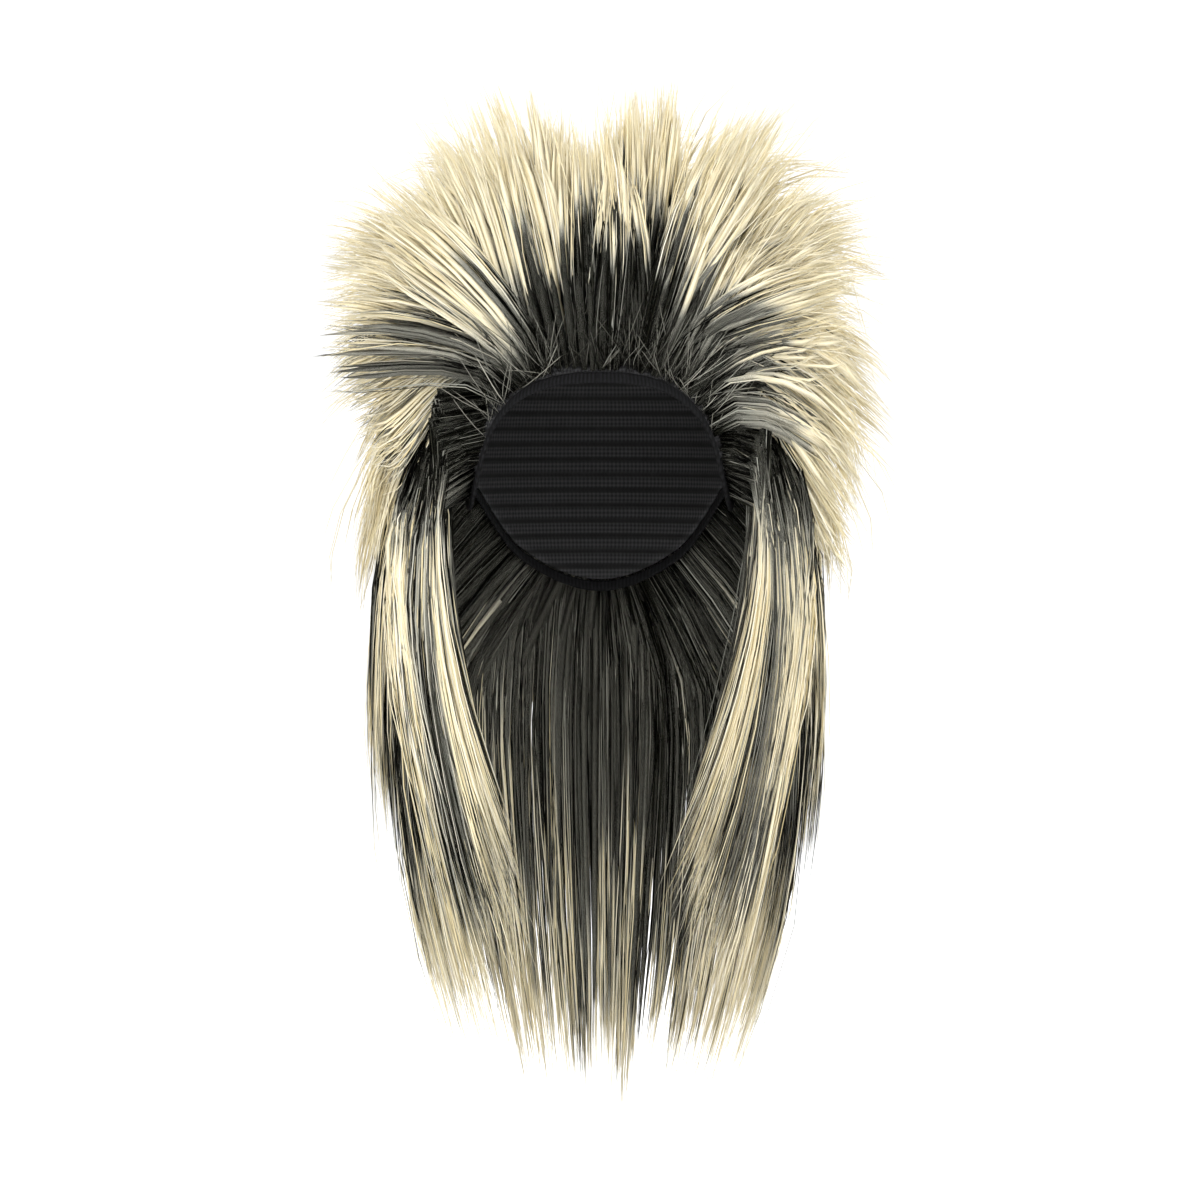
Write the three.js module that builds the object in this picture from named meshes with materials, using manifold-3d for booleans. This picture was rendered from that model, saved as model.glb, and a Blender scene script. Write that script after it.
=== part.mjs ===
// A mullet wig: a hollow sewn cap whose hair stands in short spikes over the top, flares into
// wings at the sides, frames the face with two long locks and hangs down the back in two layers.
// Millimetres, +Z up, the face opening towards -Y, +X on the viewer's right when facing it.
// The origin is the inside top of the cap, where it sits on the crown of a head.
// Angles run in degrees round the head: 0 at the forehead, 90 at +X, 180 at the nape.
// A share of the cap runs from 0 at its top to 1 at its rim.
import * as THREE from "three";
import Module from "manifold-3d";

const wasm = await Module();
wasm.setup();

// The head that the cap fits
const headHalfWidth = 76;
const headToForehead = 88;
const headToBack = 100;
const crownDepth = 98;
const crownRoundness = 2.3;
const neckTaper = 0.22;

// The cap and its rim
const capWall = 1.6;
const bindingHeight = 6;
const bindingWall = 2.4;
const capColumns = 36;
const capRows = 5;

// How far below the top the rim lies, in shares of the crown's depth
const rimRows = [
  { angle: 0, drop: 0.42 },
  { angle: 32, drop: 0.48 },
  { angle: 52, drop: 0.68 },
  { angle: 66, drop: 1.02 },
  { angle: 77, drop: 1.16 },
  { angle: 92, drop: 1.04 },
  { angle: 112, drop: 1.1 },
  { angle: 142, drop: 1.48 },
  { angle: 180, drop: 1.66 },
];

// The hair's backing and the gap that every piece keeps
const pieceGap = 0.4;
const backingWall = 2.4;
const seamWidth = 1.2;

// The dome that the tips of the spikes reach
const domeHalfWidth = 156;
const domeHalfDepth = 122;
const domeRise = 130;
const domeCentreBack = 10;
const domeCentreDrop = 20;
const domeSquareness = 2.8;
const bodyShare = 0.74;

// How far the spikes lean over from upright at the rim, in degrees, and how steadily they do
const frontLean = 29;
const sideLean = 208;
const backLean = 366;
const leanPower = 1.4;
const outwardTwist = 22;

// Behind the ears the tips drape further over, down a wall that tapers below the dome's widest level
const drape = 34;
const drapeTaper = 0.2;
const longestFall = 1.1;
const drapeStart = { angle: 84, share: 0.03 };
const drapeFull = { angle: 124, share: 0.25 };

// The dip in the thick body of hair round the whorl, at a share of the cap straight behind its top
const whorlShare = 0.15;
const whorlBreadth = 0.14;
const whorlDip = 0.46;
const liftOut = 26;
const liftUp = 20;

// The spikes
const spikeWidth = 44;
const spikeThickness = 19;
const wingWidth = 42;
const wingThickness = 18.5;

// The hair that hangs
const backLength = 482;
const curtainHalfWidth = 132;
const curtainBack = 120;
const curtainFront = 62;
const curtainSquareness = 2.5;
const curtainLockWidth = 56;
const curtainLockThickness = 12;
const layerStep = 13;
const middleLength = 340;
const sideLength = 322;
const sideUnderLength = 392;
const rootBulge = 16;

// The locks that frame the face
const frontLength = 416;
const frontSpread = 101;
const chestDepth = 76;
const frontLockWidth = 38;
const frontLockThickness = 18;

// Where each piece of hair is sewn on, in degrees and in shares of the cap
const crownEdge = 0.46;
const wingEdge = 0.74;
const browAngle = 56;
const earAngle = 90;
const napeAngle = 128;

// The hanging hair's outline: depth in shares of its length, the others of the curtain's sizes
const curtainRows = [
  { depth: 0.2, width: 0.9, back: 0.97 },
  { depth: 0.35, width: 0.98, back: 1 },
  { depth: 0.5, width: 1, back: 1 },
  { depth: 0.66, width: 0.95, back: 0.97 },
  { depth: 0.8, width: 0.86, back: 0.94 },
  { depth: 0.92, width: 0.7, back: 0.93 },
  { depth: 1, width: 0.6, back: 0.93 },
];

// The path of a front lock: depth in shares of its length, out of its spread, front of its depth
const frontRows = [
  { depth: 0.27, out: 0.95, front: 0.6 },
  { depth: 0.4, out: 1.02, front: 0.58 },
  { depth: 0.55, out: 1, front: 0.68 },
  { depth: 0.72, out: 0.88, front: 0.85 },
  { depth: 0.87, out: 0.73, front: 0.96 },
  { depth: 1, out: 0.58, front: 1 },
];

// The locks in a face piece: root angle, length, shift outwards, bend inwards and how far forward
const frontLocks = [
  { angle: 62, length: 0.83, shift: -0.2, bend: -0.1, forward: 0.5 },
  { angle: 65, length: 0.83, shift: -0.12, bend: 0.14, forward: 1 },
  { angle: 71, length: 1, shift: 0, bend: 0, forward: 1 },
  { angle: 81, length: 0.88, shift: 0.15, bend: 0, forward: 0.8 },
];

// The locks in a side piece: how far round it hangs, its length and how far it lies inside
const sideLocks = [
  { angle: 95, hang: 76, length: 0.7, inset: 0 },
  { angle: 106, hang: 87, length: 1, inset: 0 },
  { angle: 118, hang: 99, length: 0.84, inset: 0 },
];
const sideUnderLocks = [
  { angle: 100, hang: 84, length: 0.92, inset: 1 },
  { angle: 113, hang: 98, length: 1, inset: 1 },
];

// A lock's section swells and then runs out to a point
const spikeStations = [
  { along: 0, breadth: 0.5 },
  { along: 0.6, breadth: 1 },
  { along: 0.82, breadth: 0.8 },
];
const hangStations = [
  { along: 0, breadth: 0.7 },
  { along: 0.16, breadth: 0.9 },
  { along: 0.5, breadth: 1 },
  { along: 0.82, breadth: 0.62 },
];
const lockSides = 4;
const goldenShare = 0.618034;
const swellPasses = 60;
const mostSwell = 10;
const sliver = 0.05;
const nudge = 0.01;
const mostNudges = 12;

const radians = THREE.MathUtils.degToRad;
const upwards = new THREE.Vector3(0, 0, 1);

/** Steps through a table by one column and reads another, in straight lines between the rows. */
function readTable(rows, by, column, at) {
  if (at <= rows[0][by]) return rows[0][column];
  for (let i = 1; i < rows.length; i++) {
    if (at <= rows[i][by]) {
      const share = (at - rows[i - 1][by]) / (rows[i][by] - rows[i - 1][by]);
      return THREE.MathUtils.lerp(rows[i - 1][column], rows[i][column], share);
    }
  }
  return rows[rows.length - 1][column];
}

/** Reads a table as a smooth curve, level at both ends, whose slope at a row is that between its neighbours. */
function readCurve(rows, by, column, at) {
  const last = rows.length - 1;
  const next = Math.min(Math.max(rows.findIndex((row) => at <= row[by]), 1), last);
  const slope = (i) => {
    if (i === 0 || i === last) return 0;
    return (rows[i + 1][column] - rows[i - 1][column]) / (rows[i + 1][by] - rows[i - 1][by]);
  };
  const [from, to] = [rows[next - 1], rows[next]];
  const width = to[by] - from[by];
  const t = THREE.MathUtils.clamp((at - from[by]) / width, 0, 1);
  const easing = t * t * (3 - 2 * t);
  const leaving = t * (1 - t) ** 2 * width * slope(next - 1);
  const arriving = t * t * (1 - t) * width * slope(next);
  return THREE.MathUtils.lerp(from[column], to[column], easing) + leaving - arriving;
}

/** A value between low and high that differs from one index to the next and repeats each run. */
function vary(index, low, high) {
  return low + (high - low) * ((index * goldenShare) % 1);
}

/** An angle brought to the range from -180 to 180. */
function turned(angle) {
  return THREE.MathUtils.euclideanModulo(angle + 180, 360) - 180;
}

/** How far below the top the cap's rim lies at an angle. */
function rimDepth(angle) {
  return crownDepth * readCurve(rimRows, "angle", "drop", Math.abs(turned(angle)));
}

/** A point on the head's surface at an angle and a depth below the top. */
function headPointAtDepth(angle, depth) {
  const level = Math.max(depth, 0) / crownDepth;
  const round = Math.pow(1 - Math.pow(1 - Math.min(level, 1), crownRoundness), 1 / crownRoundness);
  const spread = level < 1 ? round : 1 - neckTaper * (level - 1) ** 2;
  const a = radians(angle);
  const length = Math.cos(a) > 0 ? headToForehead : headToBack;
  return new THREE.Vector3(Math.sin(a) * headHalfWidth * spread, -Math.cos(a) * length * spread, -depth);
}

/** The depth of a share of the cap at an angle. */
function depthOfShare(angle, share) {
  return rimDepth(angle) * Math.pow(share, 1.8);
}

/** A point on the head's surface at an angle and a share of the cap. */
function headPoint(angle, share) {
  return headPointAtDepth(angle, depthOfShare(angle, share));
}

/** The way out of the head's surface at an angle and a depth below the top. */
function headNormal(angle, depth) {
  const step = 2;
  const from = Math.max(depth - step, 0.5);
  const down = headPointAtDepth(angle, depth + step).sub(headPointAtDepth(angle, from));
  const round = headPointAtDepth(angle + step, depth + 0.5).sub(headPointAtDepth(angle - step, depth + 0.5));
  const normal = down.cross(round).normalize();
  return normal.lerp(upwards, Math.exp(-depth / 2)).normalize();
}

/** A point at a distance outside the head's surface. */
function capPoint(angle, share, out) {
  const depth = depthOfShare(angle, share);
  return headPoint(angle, share).addScaledVector(headNormal(angle, depth), out);
}

/** A point at a depth below the cap's rim and a distance outside the head. */
function rimPoint(angle, below, out) {
  const depth = rimDepth(angle) + below;
  return headPointAtDepth(angle, depth).addScaledVector(headNormal(angle, depth), out);
}

/** The corners moved outwards, so that every face of a closed surface moves out at least so far. */
function swollen(points, triangles, grow) {
  const faces = points.map(() => []);
  for (const [a, b, c] of triangles) {
    const ab = points[b].clone().sub(points[a]);
    const normal = ab.cross(points[c].clone().sub(points[a])).normalize();
    for (const corner of [a, b, c]) faces[corner].push(normal);
  }
  return points.map((point, i) => {
    const shift = new THREE.Vector3();
    for (let pass = 0; pass < swellPasses; pass++) {
      for (const normal of faces[i]) shift.addScaledVector(normal, Math.max(grow - normal.dot(shift), 0));
    }
    return point.clone().add(shift.clampLength(0, mostSwell * grow));
  });
}

/** A closed solid from its corners and triangles, with every face moved out by grow. */
function solidFrom(points, triangles, grow) {
  const corners = grow > 0 ? swollen(points, triangles, grow) : points;
  const mesh = new wasm.Mesh({
    numProp: 3,
    vertProperties: new Float32Array(corners.flatMap((p) => [p.x, p.y, p.z])),
    triVerts: new Uint32Array(triangles.flat()),
  });
  return new wasm.Manifold(mesh);
}

/** The wall between an inner and an outer grid of points, whose rows run down and columns round. */
function wallSolid(inner, outer, closedRound, grow) {
  const rows = inner.length;
  const columns = inner[0].length;
  const points = [...inner.flat(), ...outer.flat()];
  const at = (side, row, column) => side * rows * columns + row * columns + (column % columns);
  const triangles = [];
  const face = (a, b, c, d) => triangles.push([a, b, c], [a, c, d]);
  const spans = closedRound ? columns : columns - 1;
  for (let r = 0; r < rows - 1; r++) {
    for (let c = 0; c < spans; c++) {
      face(at(1, r, c), at(1, r + 1, c), at(1, r + 1, c + 1), at(1, r, c + 1));
      face(at(0, r, c), at(0, r, c + 1), at(0, r + 1, c + 1), at(0, r + 1, c));
    }
  }
  for (let c = 0; c < spans; c++) {
    face(at(0, 0, c), at(1, 0, c), at(1, 0, c + 1), at(0, 0, c + 1));
    face(at(0, rows - 1, c), at(0, rows - 1, c + 1), at(1, rows - 1, c + 1), at(1, rows - 1, c));
  }
  if (!closedRound) {
    const last = columns - 1;
    for (let r = 0; r < rows - 1; r++) {
      face(at(0, r, 0), at(0, r + 1, 0), at(1, r + 1, 0), at(1, r, 0));
      face(at(0, r, last), at(1, r, last), at(1, r + 1, last), at(0, r + 1, last));
    }
  }
  return solidFrom(points, triangles, grow);
}

/** A bowl-shaped wall: two round grids below two poles. */
function bowlSolid(innerPole, outerPole, inner, outer, grow) {
  const rows = inner.length;
  const columns = inner[0].length;
  const points = [innerPole, outerPole, ...inner.flat(), ...outer.flat()];
  const at = (side, row, column) => 2 + side * rows * columns + row * columns + (column % columns);
  const triangles = [];
  const face = (a, b, c, d) => triangles.push([a, b, c], [a, c, d]);
  for (let c = 0; c < columns; c++) {
    triangles.push([1, at(1, 0, c), at(1, 0, c + 1)]);
    triangles.push([0, at(0, 0, c + 1), at(0, 0, c)]);
    for (let r = 0; r < rows - 1; r++) {
      face(at(1, r, c), at(1, r + 1, c), at(1, r + 1, c + 1), at(1, r, c + 1));
      face(at(0, r, c), at(0, r, c + 1), at(0, r + 1, c + 1), at(0, r + 1, c));
    }
    face(at(0, rows - 1, c), at(0, rows - 1, c + 1), at(1, rows - 1, c + 1), at(1, rows - 1, c));
  }
  return solidFrom(points, triangles, grow);
}

/** A grid of points, from a function of the angle and the share of the cap. */
function gridOf(angles, shares, place) {
  return shares.map((share) => angles.map((angle) => place(angle, share)));
}

/** Evenly spaced values, both ends included. */
function spaced(from, to, count) {
  return Array.from({ length: count }, (_, i) => from + ((to - from) * i) / (count - 1));
}

/** The angles all round the head. */
function anglesRound(count) {
  return Array.from({ length: count }, (_, i) => (360 * i) / count);
}

/** The cap: a bowl one wall thick over the head, open below and at the face. */
function capSolid() {
  const angles = anglesRound(capColumns);
  const shares = spaced(1 / capRows, 1, capRows);
  const inner = gridOf(angles, shares, (angle, share) => capPoint(angle, share, 0));
  const outer = gridOf(angles, shares, (angle, share) => capPoint(angle, share, capWall));
  return bowlSolid(new THREE.Vector3(0, 0, 0), new THREE.Vector3(0, 0, capWall), inner, outer, 0);
}

/** The head with the cap and binding on it as one full body, a gap larger, which no hair enters. */
function headClearance() {
  const angles = anglesRound(capColumns);
  const shares = spaced(1 / capRows, 1, capRows);
  const rows = gridOf(angles, shares, (angle, share) => capPoint(angle, share, capWall + pieceGap));
  const edges = [pieceGap, bindingHeight + 3 * pieceGap];
  rows.push(...edges.map((below) => angles.map((angle) => rimPoint(angle, below, bindingWall + pieceGap))));
  const points = [new THREE.Vector3(0, 0, capWall + pieceGap), new THREE.Vector3(0, 0, -2 * crownDepth)];
  const at = (row, column) => 2 + row * capColumns + (column % capColumns);
  const last = rows.length - 1;
  const triangles = [];
  for (let c = 0; c < capColumns; c++) {
    triangles.push([0, at(0, c), at(0, c + 1)]);
    triangles.push([1, at(last, c + 1), at(last, c)]);
    for (let r = 0; r < last; r++) {
      triangles.push([at(r, c), at(r + 1, c), at(r + 1, c + 1)]);
      triangles.push([at(r, c), at(r + 1, c + 1), at(r, c + 1)]);
    }
  }
  return solidFrom([...points, ...rows.flat()], triangles, 0);
}

/** The binding: a band that follows the rim, just below the cap's edge. */
function bindingSolid() {
  const angles = anglesRound(capColumns);
  const levels = [2 * pieceGap, 2 * pieceGap + bindingHeight];
  const inner = levels.map((below) => angles.map((angle) => rimPoint(angle, below, 0)));
  const outer = levels.map((below) => angles.map((angle) => rimPoint(angle, below, bindingWall)));
  return wallSolid(inner, outer, true, 0);
}

/** How far a spike leans over from upright, in degrees, for its root's angle and share. */
function leanOf(angle, share) {
  const aside = Math.sin(radians(angle)) ** 2;
  const forward = Math.cos(radians(angle)) > 0;
  const most = THREE.MathUtils.lerp(forward ? frontLean : backLean, sideLean, forward ? aside ** 1.5 : aside);
  return most * Math.pow(share, leanPower);
}

/** How much a spike belongs to the back, whose tips drape: 0 at the ears and at the cap's top, 1 behind. */
function backness(angle, share) {
  const behind = THREE.MathUtils.smoothstep(Math.abs(turned(angle)), drapeStart.angle, drapeFull.angle);
  return behind * THREE.MathUtils.smoothstep(share, drapeStart.share, drapeFull.share);
}

/** The tip of a spike on the dome, for its root's angle and share, its reach, its droop and its drape. */
function spikeTip(angle, share, reach, droop, draped) {
  const twist = Math.cos(radians(angle)) > 0 ? outwardTwist * Math.sin(radians(2 * angle)) : 0;
  const round = radians(angle + twist * share);
  const lean = radians(leanOf(angle, share) + draped);
  const above = Math.min(lean, Math.PI / 2);
  const below = longestFall * Math.tanh((lean - above) / longestFall);
  const level = Math.sin(above);
  const height = Math.cos(above);
  const corner = Math.pow(level, domeSquareness) + Math.pow(height, domeSquareness);
  const radius = reach * Math.pow(corner, -1 / domeSquareness);
  const width = level * radius * (1 - drapeTaper * below ** 2);
  return new THREE.Vector3(
    domeHalfWidth * Math.sin(round) * width,
    domeCentreBack - domeHalfDepth * Math.cos(round) * width,
    -domeCentreDrop + domeRise * (height * radius - below - droop),
  );
}

/** The line of a spike: out of the cap, upwards, and over to its tip, following the dome at the back. */
function spikeLine(angle, share, reach, droop) {
  const root = capPoint(angle, share, capWall + pieceGap + backingWall / 2);
  const normal = headNormal(angle, depthOfShare(angle, share));
  const back = backness(angle, share);
  const tip = spikeTip(angle, share, reach, droop, drape * back);
  const first = root.clone().addScaledVector(normal, liftOut).addScaledVector(upwards, liftUp);
  const straight = first.clone().lerp(tip, 0.55).addScaledVector(upwards, liftUp / 2);
  const second = straight.lerp(spikeTip(angle, share, reach, 0, 0), back);
  return new THREE.CubicBezierCurve3(root, first, second, tip);
}

/** A point of the hanging hair's outline: how far round, how deep and how far inside it. */
function hangPoint(round, depth, inset) {
  const share = depth / backLength;
  const width = curtainHalfWidth * readTable(curtainRows, "depth", "width", share) - inset;
  const back = curtainBack * readTable(curtainRows, "depth", "back", share) - inset;
  const a = radians(round);
  const squared = (value) => Math.sign(value) * Math.pow(Math.abs(value), 2 / curtainSquareness);
  const lengthwise = Math.cos(a) > 0 ? -curtainFront : back;
  return new THREE.Vector3(width * squared(Math.sin(a)), lengthwise * Math.abs(squared(Math.cos(a))), -depth);
}

/** The line of hair that leaves the cap, bulges and hangs down the outline to a depth. */
function hangLine(angle, share, round, depth, inset) {
  const root = capPoint(angle, share, capWall + pieceGap + backingWall / 2);
  const normal = headNormal(angle, depthOfShare(angle, share));
  const start = -root.z;
  const bulge = root.clone().addScaledVector(normal, rootBulge).addScaledVector(upwards, -rootBulge / 2);
  const hung = [0.28, 0.52, 0.76, 1].map((along) => {
    return hangPoint(round, THREE.MathUtils.lerp(start, depth, along), inset);
  });
  return new THREE.CatmullRomCurve3([root, bulge, ...hung]);
}

/** The line of a lock that frames the face, on the side given by +1 or -1. */
function frontLine(side, lock) {
  const root = capPoint(side * lock.angle, 0.9, capWall + pieceGap + backingWall / 2);
  const normal = headNormal(side * lock.angle, -root.z);
  const bulge = root.clone().addScaledVector(normal, rootBulge);
  const hung = frontRows.map((row) => {
    const out = frontSpread * (row.out + lock.shift * Math.min(1, 2 * row.depth) - lock.bend * row.depth ** 3);
    const front = chestDepth * row.front * lock.forward;
    return new THREE.Vector3(side * out, -front, -frontLength * row.depth * lock.length);
  });
  return new THREE.CatmullRomCurve3([root, bulge, ...hung.filter((point) => point.z < bulge.z - rootBulge)]);
}

/** One lock: a flat section carried along a line by its stations and run out to a point. */
function lockSolid(line, stations, wide, width, thickness, grow) {
  const points = [];
  for (const station of stations) {
    const centre = line.getPointAt(station.along);
    const along = line.getTangentAt(station.along);
    const across = wide.clone().addScaledVector(along, -wide.dot(along)).normalize();
    const out = along.clone().cross(across).normalize();
    for (let i = 0; i < lockSides; i++) {
      const a = (2 * Math.PI * i) / lockSides;
      const corner = centre.clone().addScaledVector(across, (Math.cos(a) * width * station.breadth) / 2);
      points.push(corner.addScaledVector(out, (Math.sin(a) * thickness * station.breadth) / 2));
    }
  }
  points.push(line.getPoint(0), line.getPoint(1));
  const last = stations.length - 1;
  const at = (ring, i) => ring * lockSides + (i % lockSides);
  const triangles = [];
  for (let i = 0; i < lockSides; i++) {
    for (let ring = 0; ring < last; ring++) {
      triangles.push([at(ring, i), at(ring, i + 1), at(ring + 1, i + 1)]);
      triangles.push([at(ring, i), at(ring + 1, i + 1), at(ring + 1, i)]);
    }
    triangles.push([points.length - 2, at(0, i + 1), at(0, i)]);
    triangles.push([at(last, i), at(last, i + 1), points.length - 1]);
  }
  return solidFrom(points, triangles, grow);
}

/** The direction round the head at an angle, in which a lock is wide. */
function roundWay(angle) {
  return new THREE.Vector3(Math.cos(radians(angle)), Math.sin(radians(angle)), 0);
}

/** The strip that a piece is sewn to, between two angles and two shares, before the cap is cut out. */
function backing(fromAngle, toAngle, fromShare, toShare, outerPlace, grow) {
  const turn = THREE.MathUtils.radToDeg(seamWidth / 2 / headHalfWidth);
  const drop = seamWidth / 2 / crownDepth;
  const columns = Math.max(5, Math.round((toAngle - fromAngle) / 14));
  const angles = spaced(fromAngle + turn, toAngle - turn, columns);
  const shares = spaced(fromShare + drop, toShare === 1 ? 1 : toShare - drop, 4);
  const inner = gridOf(angles, shares, (angle, share) => capPoint(angle, share, 0));
  return wallSolid(inner, gridOf(angles, shares, outerPlace), false, grow);
}

/** The outside of a thin strip. */
function thinPlace(angle, share) {
  return capPoint(angle, share, capWall + pieceGap + backingWall);
}

/** The outside of a thick body of hair, part of the way along its spikes and less round the whorl. */
function thickPlace(angle, share) {
  const behind = Math.max(-Math.cos(radians(angle)), 0);
  const dip = whorlDip * behind * Math.exp(-(((share - whorlShare) / whorlBreadth) ** 2));
  return spikeLine(angle, share, 1, 0).getPoint(bodyShare - dip);
}

/** The spikes in rows: share of the cap, first and last angle, how many, and their reach. */
function spikesIn(rows, width, thickness, grow) {
  return rows.flatMap((row, r) => {
    return spaced(row.from, row.to, row.count).map((angle, i) => {
      const line = spikeLine(angle, row.share, row.reach * vary(3 * r + i + 1, 0.93, 1.1), row.droop);
      return lockSolid(line, spikeStations, roundWay(angle), width, thickness, grow);
    });
  });
}

/** The largest closed body of a cut solid, without slivers. */
function largestBody(solid) {
  const bodies = solid.simplify(sliver).decompose();
  return bodies.reduce((best, body) => (body.volume() > best.volume() ? body : best));
}

/** Whether each edge of a solid lies between just two of its faces. */
function closesCleanly(solid) {
  const { vertProperties, triVerts } = solid.getMesh();
  const keyOf = (corner) => [0, 1, 2].map((axis) => vertProperties[3 * corner + axis].toFixed(3)).join();
  const uses = new Map();
  for (let i = 0; i < triVerts.length; i += 3) {
    const keys = [0, 1, 2].map((corner) => keyOf(triVerts[i + corner]));
    for (const [a, b] of [[0, 1], [1, 2], [2, 0]]) {
      const edge = [keys[a], keys[b]].sort().join(";");
      uses.set(edge, (uses.get(edge) ?? 0) + 1);
    }
  }
  return [...uses.values()].every((count) => count === 2);
}

/** A piece of hair cut clear of those before it, nudged in size until its edges are clean. */
function cutClear(piece, taken) {
  let body = largestBody(piece.make(0).subtract(taken));
  for (let step = 1; step <= mostNudges && !closesCleanly(body); step++) {
    body = largestBody(piece.make(step * nudge).subtract(taken));
  }
  return body;
}

/** The spiky top of the wig, all round the crown. */
function crownHair(grow) {
  const angles = anglesRound(20);
  const shares = [0.14, 0.3, crownEdge - seamWidth / 2 / crownDepth];
  const inner = gridOf(angles, shares, (angle, share) => capPoint(angle, share, 0));
  const outer = gridOf(angles, shares, thickPlace);
  const body = bowlSolid(new THREE.Vector3(0, 0, 0), thickPlace(0, 0), inner, outer, grow);
  const spikes = spikesIn(
    [
      { share: 0.1, from: 30, to: 270, count: 3, reach: 0.97, droop: 0 },
      { share: 0.26, from: 25, to: 335, count: 6, reach: 1.03, droop: 0 },
      { share: 0.41, from: 62, to: 298, count: 8, reach: 1, droop: 0 },
    ],
    spikeWidth,
    spikeThickness,
    grow,
  );
  return spikes.reduce((whole, spike) => whole.add(spike), body);
}

/** The hair that rises from the hairline over the forehead. */
function browHair(grow) {
  const body = backing(-browAngle, browAngle, crownEdge, 1, thickPlace, grow);
  const spikes = spikesIn(
    [
      { share: 0.6, from: -36, to: 36, count: 3, reach: 1.04, droop: 0 },
      { share: 0.97, from: -51, to: 51, count: 6, reach: 1, droop: 0 },
    ],
    spikeWidth,
    spikeThickness,
    grow,
  );
  return spikes.reduce((whole, spike) => whole.add(spike), body);
}

/** The wing that flares out over one ear. */
function wingHair(side, grow) {
  const [from, to] = side > 0 ? [browAngle, napeAngle] : [-napeAngle, -browAngle];
  const body = backing(from, to, crownEdge, wingEdge, thickPlace, grow);
  const inward = (degrees) => side * degrees;
  const spikes = spikesIn(
    [
      { share: 0.54, from: inward(66), to: inward(116), count: 3, reach: 1.02, droop: 0 },
      { share: 0.7, from: inward(62), to: inward(112), count: 3, reach: 1.02, droop: 0 },
    ],
    wingWidth,
    wingThickness,
    grow,
  );
  return spikes.reduce((whole, spike) => whole.add(spike), body);
}

/** The long locks that frame the face on one side. */
function frontHair(side, grow) {
  const [from, to] = side > 0 ? [browAngle, earAngle] : [-earAngle, -browAngle];
  const body = backing(from, to, wingEdge, 1, thinPlace, grow);
  return frontLocks.reduce((whole, lock) => {
    const line = frontLine(side, lock);
    return whole.add(lockSolid(line, hangStations, roundWay(side * 50), frontLockWidth, frontLockThickness, grow));
  }, body);
}

/** The layer that hangs behind the ear on one side, over a longer one inside it. */
function sideHair(side, grow) {
  const [from, to] = side > 0 ? [earAngle, napeAngle] : [-napeAngle, -earAngle];
  const body = backing(from, to, wingEdge, 1, thinPlace, grow);
  const locksOf = (locks, length, share) => {
    return locks.map((lock) => {
      const depth = length * lock.length;
      const line = hangLine(side * lock.angle, share, side * lock.hang, depth, layerStep * lock.inset);
      const wide = roundWay(side * lock.hang);
      return lockSolid(line, hangStations, wide, curtainLockWidth * 0.8, curtainLockThickness, grow);
    });
  };
  const locks = [...locksOf(sideLocks, sideLength, 0.82), ...locksOf(sideUnderLocks, sideUnderLength, 0.94)];
  return locks.reduce((whole, lock) => whole.add(lock), body);
}

/** A layer that hangs down the back, of so many locks from one share of the cap. */
function backHair(fromShare, toShare, count, length, raggedness, inset, grow) {
  const body = backing(napeAngle, 360 - napeAngle, fromShare, toShare, thinPlace, grow);
  const share = (fromShare + toShare) / 2;
  const spread = (180 - earAngle + 4) / (180 - napeAngle);
  const locks = spaced(napeAngle + 4, 356 - napeAngle, count).map((angle, i) => {
    const round = 180 + (angle - 180) * spread;
    const middle = Math.cos(radians(1.2 * (angle - 180)));
    const depth = length * (1 - raggedness * (1 - middle)) * vary(i + 1, 1 - raggedness / 4, 1);
    const line = hangLine(angle, share, round, depth, inset);
    return lockSolid(line, hangStations, roundWay(round), curtainLockWidth, curtainLockThickness, grow);
  });
  return locks.reduce((whole, lock) => whole.add(lock), body);
}

/** The long layer down the back, sewn on at the nape. */
function napeHair(grow) {
  return backHair(wingEdge, 1, 9, backLength, 0.28, layerStep, grow);
}

/** The shorter layer over it, sewn on above. */
function middleHair(grow) {
  return backHair(crownEdge, wingEdge, 8, middleLength, 0.2, 0, grow);
}

// The hair from the innermost piece to the outermost: each is cut clear of those before it
const hairPieces = [
  { name: "nape_layer", make: napeHair, color: 0x6d6a5c },
  { name: "back_layer", make: middleHair, color: 0x8f8a76 },
  { name: "side_layer_right", make: (grow) => sideHair(-1, grow), color: 0x9a957f },
  { name: "side_layer_left", make: (grow) => sideHair(1, grow), color: 0x9a957f },
  { name: "face_locks_right", make: (grow) => frontHair(-1, grow), color: 0xd8cda4 },
  { name: "face_locks_left", make: (grow) => frontHair(1, grow), color: 0xd8cda4 },
  { name: "wing_right", make: (grow) => wingHair(-1, grow), color: 0xcfc59c },
  { name: "wing_left", make: (grow) => wingHair(1, grow), color: 0xcfc59c },
  { name: "crown_spikes", make: crownHair, color: 0xc9bf98 },
  { name: "brow_spikes", make: browHair, color: 0xb9b08c },
];

/** A named mesh from a solid, with its colour and finish. */
function meshOf(name, solid, color, roughness) {
  const made = solid.getMesh();
  const geometry = new THREE.BufferGeometry();
  geometry.setAttribute("position", new THREE.BufferAttribute(new Float32Array(made.vertProperties), 3));
  geometry.setIndex(new THREE.BufferAttribute(new Uint32Array(made.triVerts), 1));
  geometry.computeVertexNormals();
  const material = new THREE.MeshStandardMaterial({ color, roughness, metalness: 0 });
  const mesh = new THREE.Mesh(geometry, material);
  mesh.name = name;
  return mesh;
}

const wig = new THREE.Group();
wig.add(meshOf("cap", capSolid(), 0x1c1c1e, 0.9));
wig.add(meshOf("rim_binding", bindingSolid(), 0x101012, 0.85));

let taken = headClearance();
for (const piece of hairPieces) {
  wig.add(meshOf(piece.name, cutClear(piece, taken), piece.color, 0.55));
  taken = taken.add(piece.make(pieceGap));
}

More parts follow.
